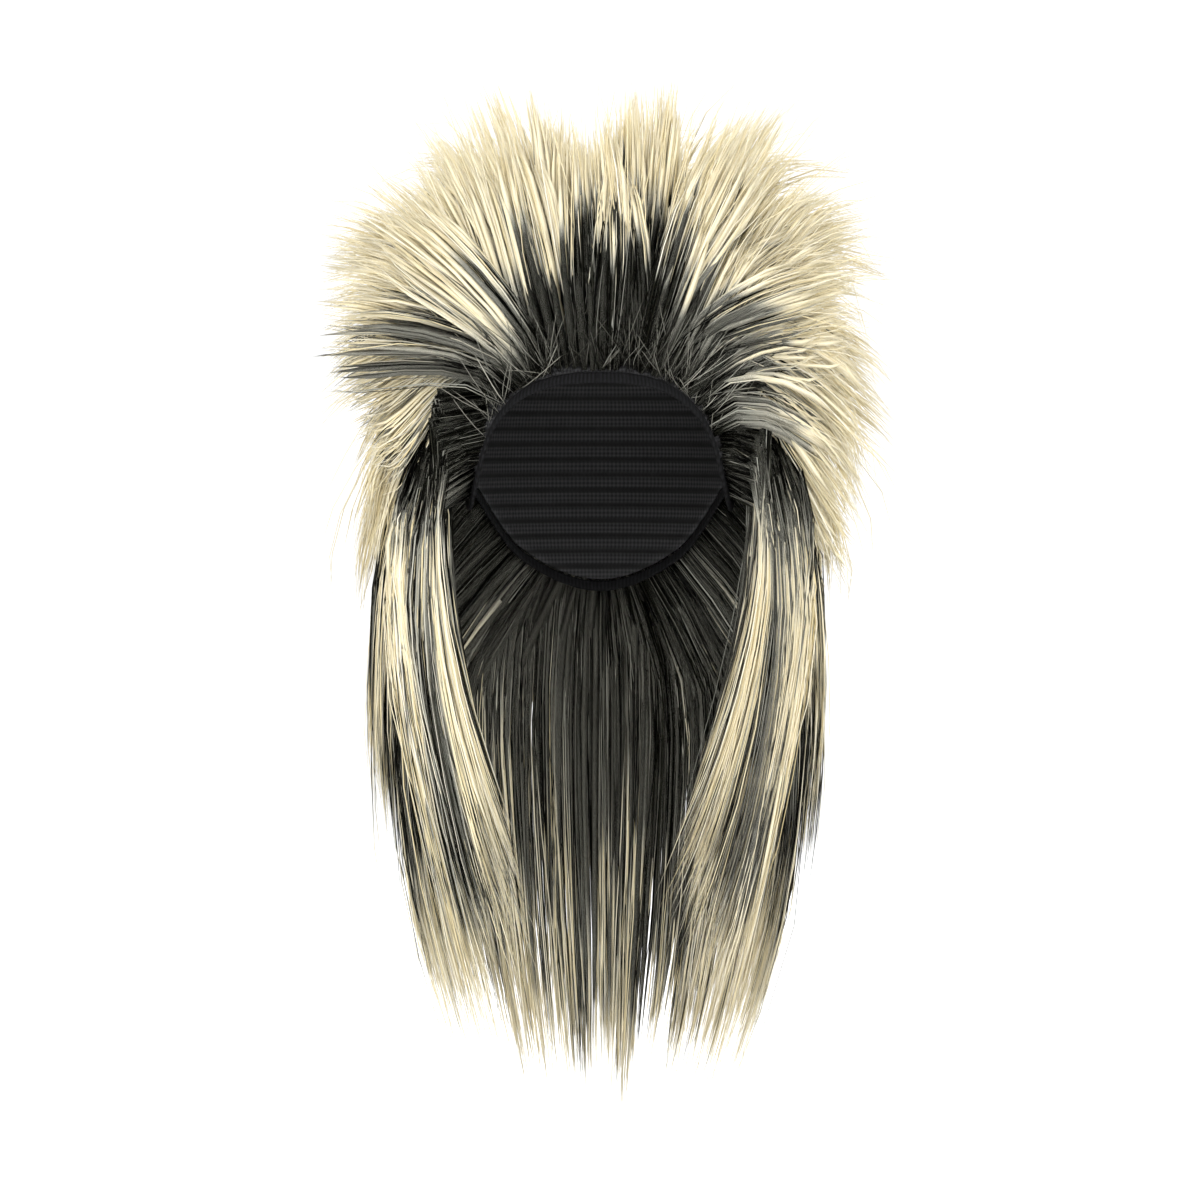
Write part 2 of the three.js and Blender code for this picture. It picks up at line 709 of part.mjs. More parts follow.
export default wig;
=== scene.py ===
"""A mullet wig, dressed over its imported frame: each fibre is a tapered prism carried along a line.

Lengths in the classes are millimetres and become metres only when a mesh is made. Angles are degrees
round the head: 0 at the forehead, 90 at +X, 180 at the nape. A share of the cap runs from 0 at its top
to 1 at its rim. Left is the wearer's left, which is the side of +X.
"""
import logging
import math
from dataclasses import dataclass, replace
from enum import Enum

import bpy
import numpy as np
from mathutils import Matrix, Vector
from numpy.typing import NDArray


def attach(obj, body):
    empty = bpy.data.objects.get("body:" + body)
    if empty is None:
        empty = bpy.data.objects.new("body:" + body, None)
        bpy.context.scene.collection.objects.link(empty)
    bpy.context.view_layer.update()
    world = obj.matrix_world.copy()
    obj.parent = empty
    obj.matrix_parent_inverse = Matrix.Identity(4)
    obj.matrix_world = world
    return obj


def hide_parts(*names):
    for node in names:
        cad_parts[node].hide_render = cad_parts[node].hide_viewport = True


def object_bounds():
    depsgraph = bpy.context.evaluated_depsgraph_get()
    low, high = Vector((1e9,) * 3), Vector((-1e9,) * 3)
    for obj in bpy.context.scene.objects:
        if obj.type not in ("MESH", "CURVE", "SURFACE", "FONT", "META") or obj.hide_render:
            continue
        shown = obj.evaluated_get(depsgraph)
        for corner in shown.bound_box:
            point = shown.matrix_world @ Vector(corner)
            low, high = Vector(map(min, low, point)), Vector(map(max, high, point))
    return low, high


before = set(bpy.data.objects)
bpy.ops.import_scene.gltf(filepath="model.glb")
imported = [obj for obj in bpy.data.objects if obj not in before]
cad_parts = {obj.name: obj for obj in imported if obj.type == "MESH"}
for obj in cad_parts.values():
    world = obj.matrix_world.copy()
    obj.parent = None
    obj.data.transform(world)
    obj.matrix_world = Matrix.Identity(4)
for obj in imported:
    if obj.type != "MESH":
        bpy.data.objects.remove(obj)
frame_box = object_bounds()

Array = NDArray[np.float64]

LOG = logging.getLogger("wig")
METRES = 0.001
PROUD = np.array([8.0, 7.0, 12.0])
LOWEST, HIGHEST = (np.array(corner) / METRES + sign * PROUD for corner, sign in zip(frame_box, (-1.0, 1.0)))
UP = np.array([0.0, 0.0, 1.0])


class Side(Enum):
    """The wearer's side that a piece is on, as the sign of its X."""

    LEFT = 1
    RIGHT = -1


class Weave(Enum):
    """The cloths of the cap."""

    NET = "net"
    TAPE = "tape"


def unit(vectors: Array) -> Array:
    """Vectors scaled to length one along their last axis."""
    return vectors / np.maximum(np.linalg.norm(vectors, axis=-1, keepdims=True), 1e-9)


def smooth(low: float, high: float, values: Array) -> Array:
    """A smooth step from 0 at low to 1 at high: 3x squared less 2x cubed of the share between them."""
    x = np.clip((values - low) / (high - low), 0.0, 1.0)
    return x * x * (3.0 - 2.0 * x)


def hump(middle: float, width: float, values: Array) -> Array:
    """A bell that is 1 at the middle and falls away over the width, as a Gaussian."""
    return np.exp(-(((values - middle) / width) ** 2))


def mixed(first: Array, second: Array, share: Array) -> Array:
    """Points between two sets, with the share given per point."""
    return first + (second - first) * share[..., None]


def folded(values: Array, ends: tuple[float, float]) -> Array:
    """Values between two ends, with what passes an end folded back over it."""
    low, high = min(ends), max(ends)
    inside = low + np.abs(values - low)
    return np.clip(high - np.abs(high - inside), low, high)


def turned(angle: Array) -> Array:
    """Angles brought to the range from -180 to 180 degrees."""
    return (np.asarray(angle) + 180.0) % 360.0 - 180.0


def wandered(lines: Array, amount: Array, rng: np.random.Generator) -> Array:
    """Lines that wander by an amount each: two slow sines in chance directions, growing along the line."""
    along = np.linspace(0.0, 1.0, lines.shape[1])[None, :, None]
    moved = lines.copy()
    for turns in (0.7, 1.6):
        way = unit(rng.normal(size=(len(lines), 1, 3)))
        phase = rng.uniform(0, math.tau, (len(lines), 1, 1))
        wave = np.sin(math.tau * turns * along + phase) - np.sin(phase)
        moved += way * wave * along * amount[:, None, None] / turns
    return moved


def akin(kin: float, above: Array, own: Array) -> Array:
    """A chance value partly like the one above it, about zero and as widely spread as either."""
    return (kin * above + (1 - kin) * own) / math.hypot(kin, 1 - kin)


def evenly(points: Array, steps: int) -> Array:
    """Lines read again at even distances along them.

    The length up to each point is summed, and each new point lies between the two old ones whose
    lengths enclose its own share of the whole.

    Args:
        points: The lines, as (line, point, xyz).
        steps: The number of spans in each new line.

    Returns:
        The new lines, as (line, steps + 1, xyz).
    """
    spans = np.linalg.norm(np.diff(points, axis=1), axis=2)
    total = np.concatenate([np.zeros((len(points), 1)), np.cumsum(spans, axis=1)], axis=1)
    wanted = total[:, -1:] * np.linspace(0.0, 1.0, steps + 1)[None, :]
    before = np.clip((total[:, :, None] <= wanted[:, None, :]).sum(axis=1) - 1, 0, points.shape[1] - 2)
    low = np.take_along_axis(total, before, 1)
    high = np.take_along_axis(total, before + 1, 1)
    share = (wanted - low) / np.maximum(high - low, 1e-9)
    start = np.take_along_axis(points, before[..., None], 1)
    end = np.take_along_axis(points, before[..., None] + 1, 1)
    return mixed(start, end, share)


def shortened(lines: Array, share: Array) -> Array:
    """Lines cut to a share of their length, with as many points as before."""
    spans = lines.shape[1] - 1
    place = np.linspace(0.0, 1.0, spans + 1)[None, :] * share[:, None] * spans
    before = np.minimum(place.astype(int), spans - 1)
    start = np.take_along_axis(lines, before[..., None], 1)
    end = np.take_along_axis(lines, before[..., None] + 1, 1)
    return mixed(start, end, place - before)


def drawn_in(lines: Array, low: Array, high: Array) -> Array:
    """Lines that would leave a box, shrunk towards their roots until they fit.

    Each point's way from the root is set against the room there is that way on every axis, and the
    line keeps the least share of room to way among its points.

    Args:
        lines: The lines, as (line, point, xyz), whose roots lie in the box.
        low: The box's lowest corner.
        high: The box's highest corner.

    Returns:
        The lines, with those that fit left as they are.
    """
    root = lines[:, :1]
    way = lines - root
    room = np.where(way > 0, high - root, root - low)
    share = (room / np.maximum(np.abs(way), 1e-6)).min(axis=(1, 2), keepdims=True)
    return root + way * np.minimum(share, 1.0)


def bent(controls: Array, steps: int) -> Array:
    """Cubic Bezier lines through four control points each, at even distances.

    Args:
        controls: The control points, as (line, 4, xyz).
        steps: The number of spans in each line.

    Returns:
        The lines, as (line, steps + 1, xyz).
    """
    t = np.linspace(0.0, 1.0, 17)
    weights = np.stack([(1 - t) ** 3, 3 * t * (1 - t) ** 2, 3 * t * t * (1 - t), t**3])
    return evenly(np.einsum("nck,ct->ntk", controls, weights), steps)


def threaded(points: Array, steps: int) -> Array:
    """Catmull-Rom lines through every given point: each span is a cubic whose slope at a point is half
    the way from the point before it to the point after it.

    Args:
        points: The points to pass through, as (line, point, xyz).
        steps: The number of spans in each line.

    Returns:
        The lines, as (line, steps + 1, xyz).
    """
    first = 2 * points[:, :1] - points[:, 1:2]
    last = 2 * points[:, -1:] - points[:, -2:-1]
    p = np.concatenate([first, points, last], axis=1)
    t = np.linspace(0.0, 1.0, 6, endpoint=False)[None, None, :, None]
    a, b, c, d = (p[:, i : p.shape[1] - 3 + i, None] for i in range(4))
    spans = 0.5 * (2 * b + (c - a) * t + (2 * a - 5 * b + 4 * c - d) * t**2 + (3 * b - a - 3 * c + d) * t**3)
    fine = spans.reshape(len(points), -1, 3)
    return evenly(np.concatenate([fine, points[:, -1:]], axis=1), steps)


@dataclass(frozen=True)
class HeadForm:
    """The head inside the cap: a rounded dome above, slightly narrowing below its widest level."""

    half_width: float = 76.0
    to_forehead: float = 88.0
    to_back: float = 100.0
    crown_depth: float = 98.0
    roundness: float = 2.3
    neck_taper: float = 0.22
    rim_angles: tuple[float, ...] = (0, 32, 52, 66, 77, 92, 112, 142, 180)
    rim_drops: tuple[float, ...] = (0.42, 0.48, 0.68, 1.02, 1.16, 1.04, 1.1, 1.48, 1.66)

    def rim_depth(self, angle: Array) -> Array:
        """How far below the top the cap's rim lies.

        The table is read as a cubic between rows, level at both ends, whose slope at a row is that
        between its neighbours.
        """
        at = np.abs(turned(angle))
        rows = np.array(self.rim_angles)
        drops = np.array(self.rim_drops)
        slopes = np.concatenate([[0.0], (drops[2:] - drops[:-2]) / (rows[2:] - rows[:-2]), [0.0]])
        after = np.clip(np.searchsorted(rows, at), 1, len(rows) - 1)
        width = rows[after] - rows[after - 1]
        t = np.clip((at - rows[after - 1]) / width, 0.0, 1.0)
        eased = drops[after - 1] + (drops[after] - drops[after - 1]) * t * t * (3 - 2 * t)
        bends = t * (1 - t) ** 2 * slopes[after - 1] - t * t * (1 - t) * slopes[after]
        return self.crown_depth * (eased + bends * width)

    def depth_of(self, angle: Array, share: Array) -> Array:
        """The depth of a share of the cap: the rim's depth times the share to the power 1.8."""
        return self.rim_depth(angle) * np.maximum(share, 0.0) ** 1.8

    def point_at(self, angle: Array, depth: Array) -> Array:
        """Points of the head's surface.

        Above its widest level the radius is a superellipse of the depth, and below it the radius
        shrinks by the square of the depth past that level.
        """
        level = np.maximum(depth, 0.0) / self.crown_depth
        dome = (1 - (1 - np.minimum(level, 1.0)) ** self.roundness) ** (1 / self.roundness)
        spread = np.where(level < 1, dome, 1 - self.neck_taper * (level - 1) ** 2)
        a = np.radians(angle)
        length = np.where(np.cos(a) > 0, self.to_forehead, self.to_back)
        x = np.sin(a) * self.half_width * spread
        return np.stack(np.broadcast_arrays(x, -np.cos(a) * length * spread, -depth), axis=-1)

    def normal_at(self, angle: Array, depth: Array) -> Array:
        """The way out of the surface: the cross product of its slopes down and round, turned upright
        within a few millimetres of the top."""
        step = 2.0
        above = np.maximum(depth - step, 0.5)
        down = self.point_at(angle, depth + step) - self.point_at(angle, above)
        round_ = self.point_at(angle + step, depth + 0.5) - self.point_at(angle - step, depth + 0.5)
        normal = unit(np.cross(down, round_))
        return unit(mixed(normal, np.broadcast_to(UP, normal.shape), np.exp(-depth / step)))

    def kept_out(self, points: Array, gap: float) -> Array:
        """Points of hair, those inside the cap moved level outwards until they clear it by a gap.

        A point is inside where its distance from the axis, as a share of the half width and half length
        there, is less than the head's spread at its depth. Below the rim nothing moves.
        """
        x, y, z = points[..., 0], points[..., 1], points[..., 2]
        length = np.where(y < 0, self.to_forehead, self.to_back)
        angle = np.degrees(np.arctan2(x / self.half_width, -y / length))
        depth = np.maximum(-z, 0.0)
        edge = self.point_at(angle, depth)
        reach = np.hypot(edge[..., 0], edge[..., 1]) + gap
        far = np.maximum(np.hypot(x, y), 1.0)
        inside = (z < 0) & (depth < self.rim_depth(angle)) & (far < reach)
        scale = np.where(inside, reach / far, 1.0)
        return points * np.stack([scale, scale, np.ones_like(scale)], axis=-1)

    def cap_point(self, angle: Array, share: Array, out: float | Array) -> Array:
        """Points at a distance outside the head, for angles and shares of the cap."""
        depth = self.depth_of(angle, share)
        outwards = self.normal_at(angle, depth) * np.asarray(out)[..., None]
        return self.point_at(angle, depth) + outwards


@dataclass(frozen=True)
class DomeForm:
    """The dome that the tips of the spikes reach, and how a spike bends over to it."""

    half_width: float = 156.0
    half_depth: float = 122.0
    rise: float = 130.0
    centre_back: float = 10.0
    centre_drop: float = 20.0
    squareness: float = 2.8
    front_lean: float = 29.0
    side_lean: float = 208.0
    back_lean: float = 366.0
    lean_power: float = 1.4
    drape: float = 34.0
    drape_taper: float = 0.2
    longest_fall: float = 1.1
    twist: float = 22.0
    lift_out: float = 26.0
    lift_up: float = 20.0
    notch: float = 0.17
    notch_at: float = -6.0
    notch_width: float = 13.0

    def backness(self, angle: Array, share: Array) -> Array:
        """How much hair belongs to the back, whose tips drape: 0 at the ears and at the top of the cap,
        and 1 well behind and below them."""
        return smooth(84.0, 124.0, np.abs(turned(angle))) * smooth(0.03, 0.25, share)

    def tip(self, angle: Array, share: Array, reach: Array, droop: Array, drape: Array) -> Array:
        """The tips of spikes.

        The lean from upright grows with the share to a power, at a rate blended round the head, and
        drape adds to it. The tip lies that far over on a superellipsoid, and past its widest level on a
        wall that falls straight and tapers by a square, down to a longest fall that a hyperbolic
        tangent eases it into. It is scaled by reach and lowered by droop.
        """
        a = np.radians(angle)
        aside = np.sin(a) ** 2
        forward = np.cos(a) > 0
        share_of_side = np.where(forward, aside**1.5, aside)
        rate = np.where(forward, self.front_lean, self.back_lean)
        rate = rate + (self.side_lean - rate) * share_of_side
        lean = np.radians(rate * np.maximum(share, 0.0) ** self.lean_power + drape)
        way = a + np.radians(np.where(forward, self.twist * np.sin(2 * a), 0.0) * share)
        above = np.minimum(lean, math.pi / 2)
        below = self.longest_fall * np.tanh((lean - above) / self.longest_fall)
        level = np.sin(above)
        height = np.cos(above)
        radius = reach * (level**self.squareness + height**self.squareness) ** (-1 / self.squareness)
        width = level * radius * (1 - self.drape_taper * below**2)
        return np.stack(
            [
                self.half_width * np.sin(way) * width,
                self.centre_back - self.half_depth * np.cos(way) * width,
                self.rise * (height * radius - below - droop) - self.centre_drop,
            ],
            axis=-1,
        )

    def lines(self, head: HeadForm, roots: "Roots", droop: Array, steps: int) -> Array:
        """Spikes' lines: out of the cap along its normal, upwards, and over to the tip. Those at the
        back meet the dome half way, and follow it down."""
        root = head.cap_point(roots.angle, roots.share, 1.0)
        normal = head.normal_at(roots.angle, head.depth_of(roots.angle, roots.share))
        way = roots.angle + roots.sway
        back = self.backness(roots.angle, roots.share)
        full = self.tip(way, roots.share, roots.reach, droop, self.drape * back)
        notched = hump(self.notch_at, self.notch_width, full[..., 0]) * (1.0 - smooth(60.0, 110.0, full[..., 1]))
        tip = self.tip(way, roots.share, roots.reach * (1.0 - self.notch * notched), droop, self.drape * back)
        first = root + normal * self.lift_out + UP * self.lift_up
        straight = first + (tip - first) * 0.55 + UP * self.lift_up / 2
        along = self.tip(way, roots.share, roots.reach, 0.0 * droop, 0.0 * back)
        return bent(np.stack([root, first, mixed(straight, along, back), tip], axis=1), steps)


@dataclass(frozen=True)
class CurtainForm:
    """The outline that the hanging hair follows, as a squared oval at each depth."""

    length: float = 482.0
    half_width: float = 132.0
    back: float = 120.0
    front: float = 62.0
    squareness: float = 2.5
    root_bulge: float = 16.0
    depths: tuple[float, ...] = (0.2, 0.35, 0.5, 0.66, 0.8, 0.92, 1.0)
    widths: tuple[float, ...] = (0.9, 0.98, 1.0, 0.95, 0.86, 0.7, 0.6)
    backs: tuple[float, ...] = (0.97, 1.0, 1.0, 0.97, 0.94, 0.93, 0.93)

    def point(self, round_: Array, depth: Array, inset: Array) -> Array:
        """Points of the outline: the powers of sine and cosine that give a squared oval, times a width
        and a length read from the tables by depth."""
        share = depth / self.length
        width = self.half_width * np.interp(share, self.depths, self.widths) - inset
        back = self.back * np.interp(share, self.depths, self.backs) - inset
        a = np.radians(round_)
        power = 2 / self.squareness
        lengthwise = np.where(np.cos(a) > 0, -self.front, back)
        x = width * np.sign(np.sin(a)) * np.abs(np.sin(a)) ** power
        return np.stack([x, lengthwise * np.abs(np.cos(a)) ** power, -depth], axis=-1)

    def lines(
        self, head: HeadForm, angle: Array, share: Array, round_: Array, depth: Array, inset: Array, steps: int
    ) -> Array:
        """Hanging lines: out of the cap, over a small bulge and down the outline to a depth."""
        root = head.cap_point(angle, share, 1.0)
        start = -root[:, 2]
        normal = head.normal_at(angle, start)
        bulge = root + normal * self.root_bulge - UP * self.root_bulge / 2
        hung = [self.point(round_, start + (depth - start) * t, inset) for t in (0.28, 0.52, 0.76, 1.0)]
        return threaded(np.stack([root, bulge, *hung], axis=1), steps)


class Value:
    """A socket that holds a number, so that expressions on it add Math nodes."""

    def __init__(self, maker: "NodeMaker", socket: bpy.types.NodeSocket) -> None:
        """Keeps the maker of nodes and the socket."""
        self.maker = maker
        self.socket = socket

    def _math(self, operation: str, first: "Value | float", second: "Value | float") -> "Value":
        """One Math node on two values."""
        return self.maker.value("ShaderNodeMath", {"operation": operation}, {0: first, 1: second})

    def __add__(self, other: "Value | float") -> "Value":
        """The sum."""
        return self._math("ADD", self, other)

    def __radd__(self, other: float) -> "Value":
        """The sum, with a number first."""
        return self._math("ADD", other, self)

    def __sub__(self, other: "Value | float") -> "Value":
        """The difference."""
        return self._math("SUBTRACT", self, other)

    def __rsub__(self, other: float) -> "Value":
        """The difference from a number."""
        return self._math("SUBTRACT", other, self)

    def __mul__(self, other: "Value | float") -> "Value":
        """The product."""
        return self._math("MULTIPLY", self, other)

    def __rmul__(self, other: float) -> "Value":
        """The product, with a number first."""
        return self._math("MULTIPLY", other, self)

    def repeated(self) -> "Value":
        """The part of the value past the whole number below it."""
        return self._math("FRACT", self, 0.0)

    def sine(self) -> "Value":
        """The sine of the value."""
        return self._math("SINE", self, 0.0)


class NodeMaker:
    """Makes a material and every node in it."""

    def __init__(self, name: str) -> None:
        """Starts a material of the name with a bare surface shader."""
        self.material = bpy.data.materials.new(name)
        self.material.use_nodes = True
        self.tree = self.material.node_tree
        self.tree.nodes.clear()
        self.surface = self.tree.nodes.new("ShaderNodeBsdfPrincipled")
        output = self.tree.nodes.new("ShaderNodeOutputMaterial")
        self.tree.links.new(self.surface.outputs["BSDF"], output.inputs["Surface"])

    def node(self, kind: str, settings: dict[str, object], inputs: dict[int | str, object]) -> bpy.types.Node:
        """Any node, with its settings first and then its sockets.

        Args:
            kind: The node's type.
            settings: Its own properties, and for a ramp its stops as (place, colour) pairs.
            inputs: What each socket gets: a number, a colour, a socket or a Value.

        Returns:
            The node.
        """
        made = self.tree.nodes.new(kind)
        for key, setting in settings.items():
            if key == "stops":
                self._fill_ramp(made.color_ramp, setting)
            else:
                setattr(made, key, setting)
        for key, given in inputs.items():
            self.feed(made.inputs[key], given)
        return made

    def feed(self, socket: bpy.types.NodeSocket, given: object) -> None:
        """Links or sets one socket."""
        if isinstance(given, Value):
            given = given.socket
        if isinstance(given, bpy.types.NodeSocket):
            self.tree.links.new(given, socket)
        else:
            socket.default_value = given

    def value(self, kind: str, settings: dict[str, object], inputs: dict[int | str, object]) -> Value:
        """A node's first output as a Value."""
        return Value(self, self.node(kind, settings, inputs).outputs[0])

    @staticmethod
    def _fill_ramp(ramp: bpy.types.ColorRamp, stops: list[tuple[float, tuple[float, float, float]]]) -> None:
        """Puts the stops into a colour ramp."""
        while len(ramp.elements) < len(stops):
            ramp.elements.new(1.0)
        for element, (place, colour) in zip(ramp.elements, stops):
            element.position = place
            element.color = (*colour, 1.0)


@dataclass(frozen=True)
class FibreFinish:
    """Synthetic fibre, charcoal at the root and pale blonde at the tip, with silver fibres among it.

    It reads the map "fibre": across it lies each fibre's own tone, and up it how pale it has become. The
    tone repeats many times across the map, so a flat wisp, which spans more of it, is striped like a
    bundle of fibres, and each stripe turns pale a little later or sooner than the next.
    """

    name: str = "wig_fibre"
    charcoal: tuple[float, float, float] = (0.006, 0.006, 0.004)
    soot: tuple[float, float, float] = (0.0015, 0.0015, 0.0013)
    pewter: tuple[float, float, float] = (0.035, 0.036, 0.026)
    silver: tuple[float, float, float] = (0.38, 0.38, 0.33)
    frosted: tuple[float, float, float] = (0.54, 0.53, 0.45)
    blonde: tuple[float, float, float] = (0.78, 0.68, 0.42)
    cream: tuple[float, float, float] = (0.84, 0.76, 0.54)
    pearl: tuple[float, float, float] = (0.9, 0.86, 0.74)
    straw: tuple[float, float, float] = (0.64, 0.53, 0.3)
    roughness: float = 0.5
    shine: float = 0.02
    stripes: float = 27.0
    delays: float = 71.0

    def make(self) -> bpy.types.Material:
        """The material: a ramp of dark tones and a ramp of pale ones, mixed by paleness."""
        maker = NodeMaker(self.name)
        fibre_map = maker.node("ShaderNodeUVMap", {"uv_map": "fibre"}, {})
        parts = maker.node("ShaderNodeSeparateXYZ", {}, {0: fibre_map.outputs[0]})
        tone = (Value(maker, parts.outputs[0]) * self.stripes).repeated()
        delay = (Value(maker, parts.outputs[0]) * self.delays).repeated() * 0.5 + 0.1
        pale = Value(maker, parts.outputs[1])
        dark_stops = [
            (0.0, self.charcoal),
            (0.4, self.soot),
            (0.78, self.charcoal),
            (0.92, self.pewter),
            (0.965, self.silver),
            (1.0, self.silver),
        ]
        pale_stops = [
            (0.0, self.blonde),
            (0.3, self.cream),
            (0.52, self.pearl),
            (0.7, self.cream),
            (0.88, self.straw),
            (1.0, self.blonde),
        ]
        dark = maker.node("ShaderNodeValToRGB", {"stops": dark_stops}, {0: tone})
        light = maker.node("ShaderNodeValToRGB", {"stops": pale_stops}, {0: (tone * 3.0).repeated()})
        share = maker.value("ShaderNodeMapRange", {}, {0: pale, 1: delay, 2: delay + 0.28})
        warmth = maker.value("ShaderNodeMapRange", {}, {0: pale, 1: 0.4, 2: 0.8})
        blend = {"data_type": "RGBA"}
        turning = maker.node("ShaderNodeMix", blend, {0: warmth, 6: (*self.frosted, 1.0), 7: light.outputs[0]})
        colour = maker.node("ShaderNodeMix", blend, {0: share, 6: dark.outputs[0], 7: turning.outputs[2]})
        maker.feed(maker.surface.inputs["Base Color"], colour.outputs[2])
        maker.feed(maker.surface.inputs["Roughness"], self.roughness)
        maker.feed(maker.surface.inputs["Specular IOR Level"], self.shine)
        return maker.material


@dataclass(frozen=True)
class ClothFinish:
    """The cap's dark cloth: an open net with rows of weft sewn along it, or a ribbed tape.

    Both read the map "cloth". That of the net is in tenths of a metre round the cap and down it.
    """

    name: str
    weave: Weave
    colour: tuple[float, float, float] = (0.006, 0.006, 0.007)
    thread: tuple[float, float, float] = (0.022, 0.022, 0.024)
    weft: tuple[float, float, float] = (0.012, 0.012, 0.012)
    cells: float = 150.0
    rows: float = 11.11
    roughness: float = 0.82
    shine: float = 0.1

    def make(self) -> bpy.types.Material:
        """The material: threads where sines of the map cross, a little lighter and raised."""
        maker = NodeMaker(self.name)
        cloth_map = maker.node("ShaderNodeUVMap", {"uv_map": "cloth"}, {})
        parts = maker.node("ShaderNodeSeparateXYZ", {}, {0: cloth_map.outputs[0]})
        across = Value(maker, parts.outputs[0]) * (self.cells * math.tau)
        along = Value(maker, parts.outputs[1]) * (self.cells * math.tau)
        if self.weave is Weave.NET:
            pattern = (across + along).sine() * (across - along).sine() * 0.5 + 0.5
        else:
            pattern = across.sine() * 0.5 + 0.5
        blend = {"data_type": "RGBA"}
        colour = maker.node("ShaderNodeMix", blend, {0: pattern, 6: (*self.colour, 1.0), 7: (*self.thread, 1.0)})
        if self.weave is Weave.NET:
            row = (Value(maker, parts.outputs[1]) * (self.rows * math.tau)).sine()
            colour = maker.node("ShaderNodeMix", blend, {0: row, 6: colour.outputs[2], 7: (*self.weft, 1.0)})
        bump = maker.node("ShaderNodeBump", {}, {"Strength": 0.5, "Distance": 0.0003, "Height": pattern})
        maker.feed(maker.surface.inputs["Base Color"], colour.outputs[2])
        maker.feed(maker.surface.inputs["Normal"], bump.outputs[0])
        maker.feed(maker.surface.inputs["Roughness"], self.roughness)
        maker.feed(maker.surface.inputs["Specular IOR Level"], self.shine)
        return maker.material


def mesh_object(
    name: str, points: Array, faces: list[NDArray[np.int32]], maps: dict[str, Array]
) -> bpy.types.Object:
    """A smooth mesh object at the origin from whole arrays.

    Args:
        name: The object's name.
        points: The corners in millimetres.
        faces: Arrays of faces, each with its own number of corners.
        maps: The texture maps by name, with a pair for every corner of every face in order.

    Returns:
        The object, linked to the scene.
    """
    corners = np.concatenate([block.ravel() for block in faces]).astype(np.int32)
    totals = np.concatenate([np.full(len(block), block.shape[1]) for block in faces]).astype(np.int32)
    starts = np.concatenate([[0], np.cumsum(totals)[:-1]]).astype(np.int32)
    mesh = bpy.data.meshes.new(name)
    mesh.vertices.add(len(points))
    mesh.vertices.foreach_set("co", (points * METRES).astype(np.float32).ravel())
    mesh.loops.add(len(corners))
    mesh.loops.foreach_set("vertex_index", corners)
    mesh.polygons.add(len(totals))
    mesh.polygons.foreach_set("loop_start", starts)
    mesh.polygons.foreach_set("loop_total", totals)
    mesh.polygons.foreach_set("use_smooth", np.ones(len(totals), dtype=bool))
    for map_name, pairs in maps.items():
        layer = mesh.uv_layers.new(name=map_name)
        layer.data.foreach_set("uv", pairs.astype(np.float32).ravel())
    mesh.update(calc_edges=True)
    made = bpy.data.objects.new(name, mesh)
    bpy.context.scene.collection.objects.link(made)
    return made


def placed(piece: bpy.types.Object, material: bpy.types.Material, node: str) -> None:
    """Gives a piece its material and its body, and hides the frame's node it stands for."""
    piece.data.materials.append(material)
    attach(piece, "root")
    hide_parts(node)
    piece.data.calc_loop_triangles()
    LOG.info("%s: %d triangles in place of %s", piece.name, len(piece.data.loop_triangles), node)


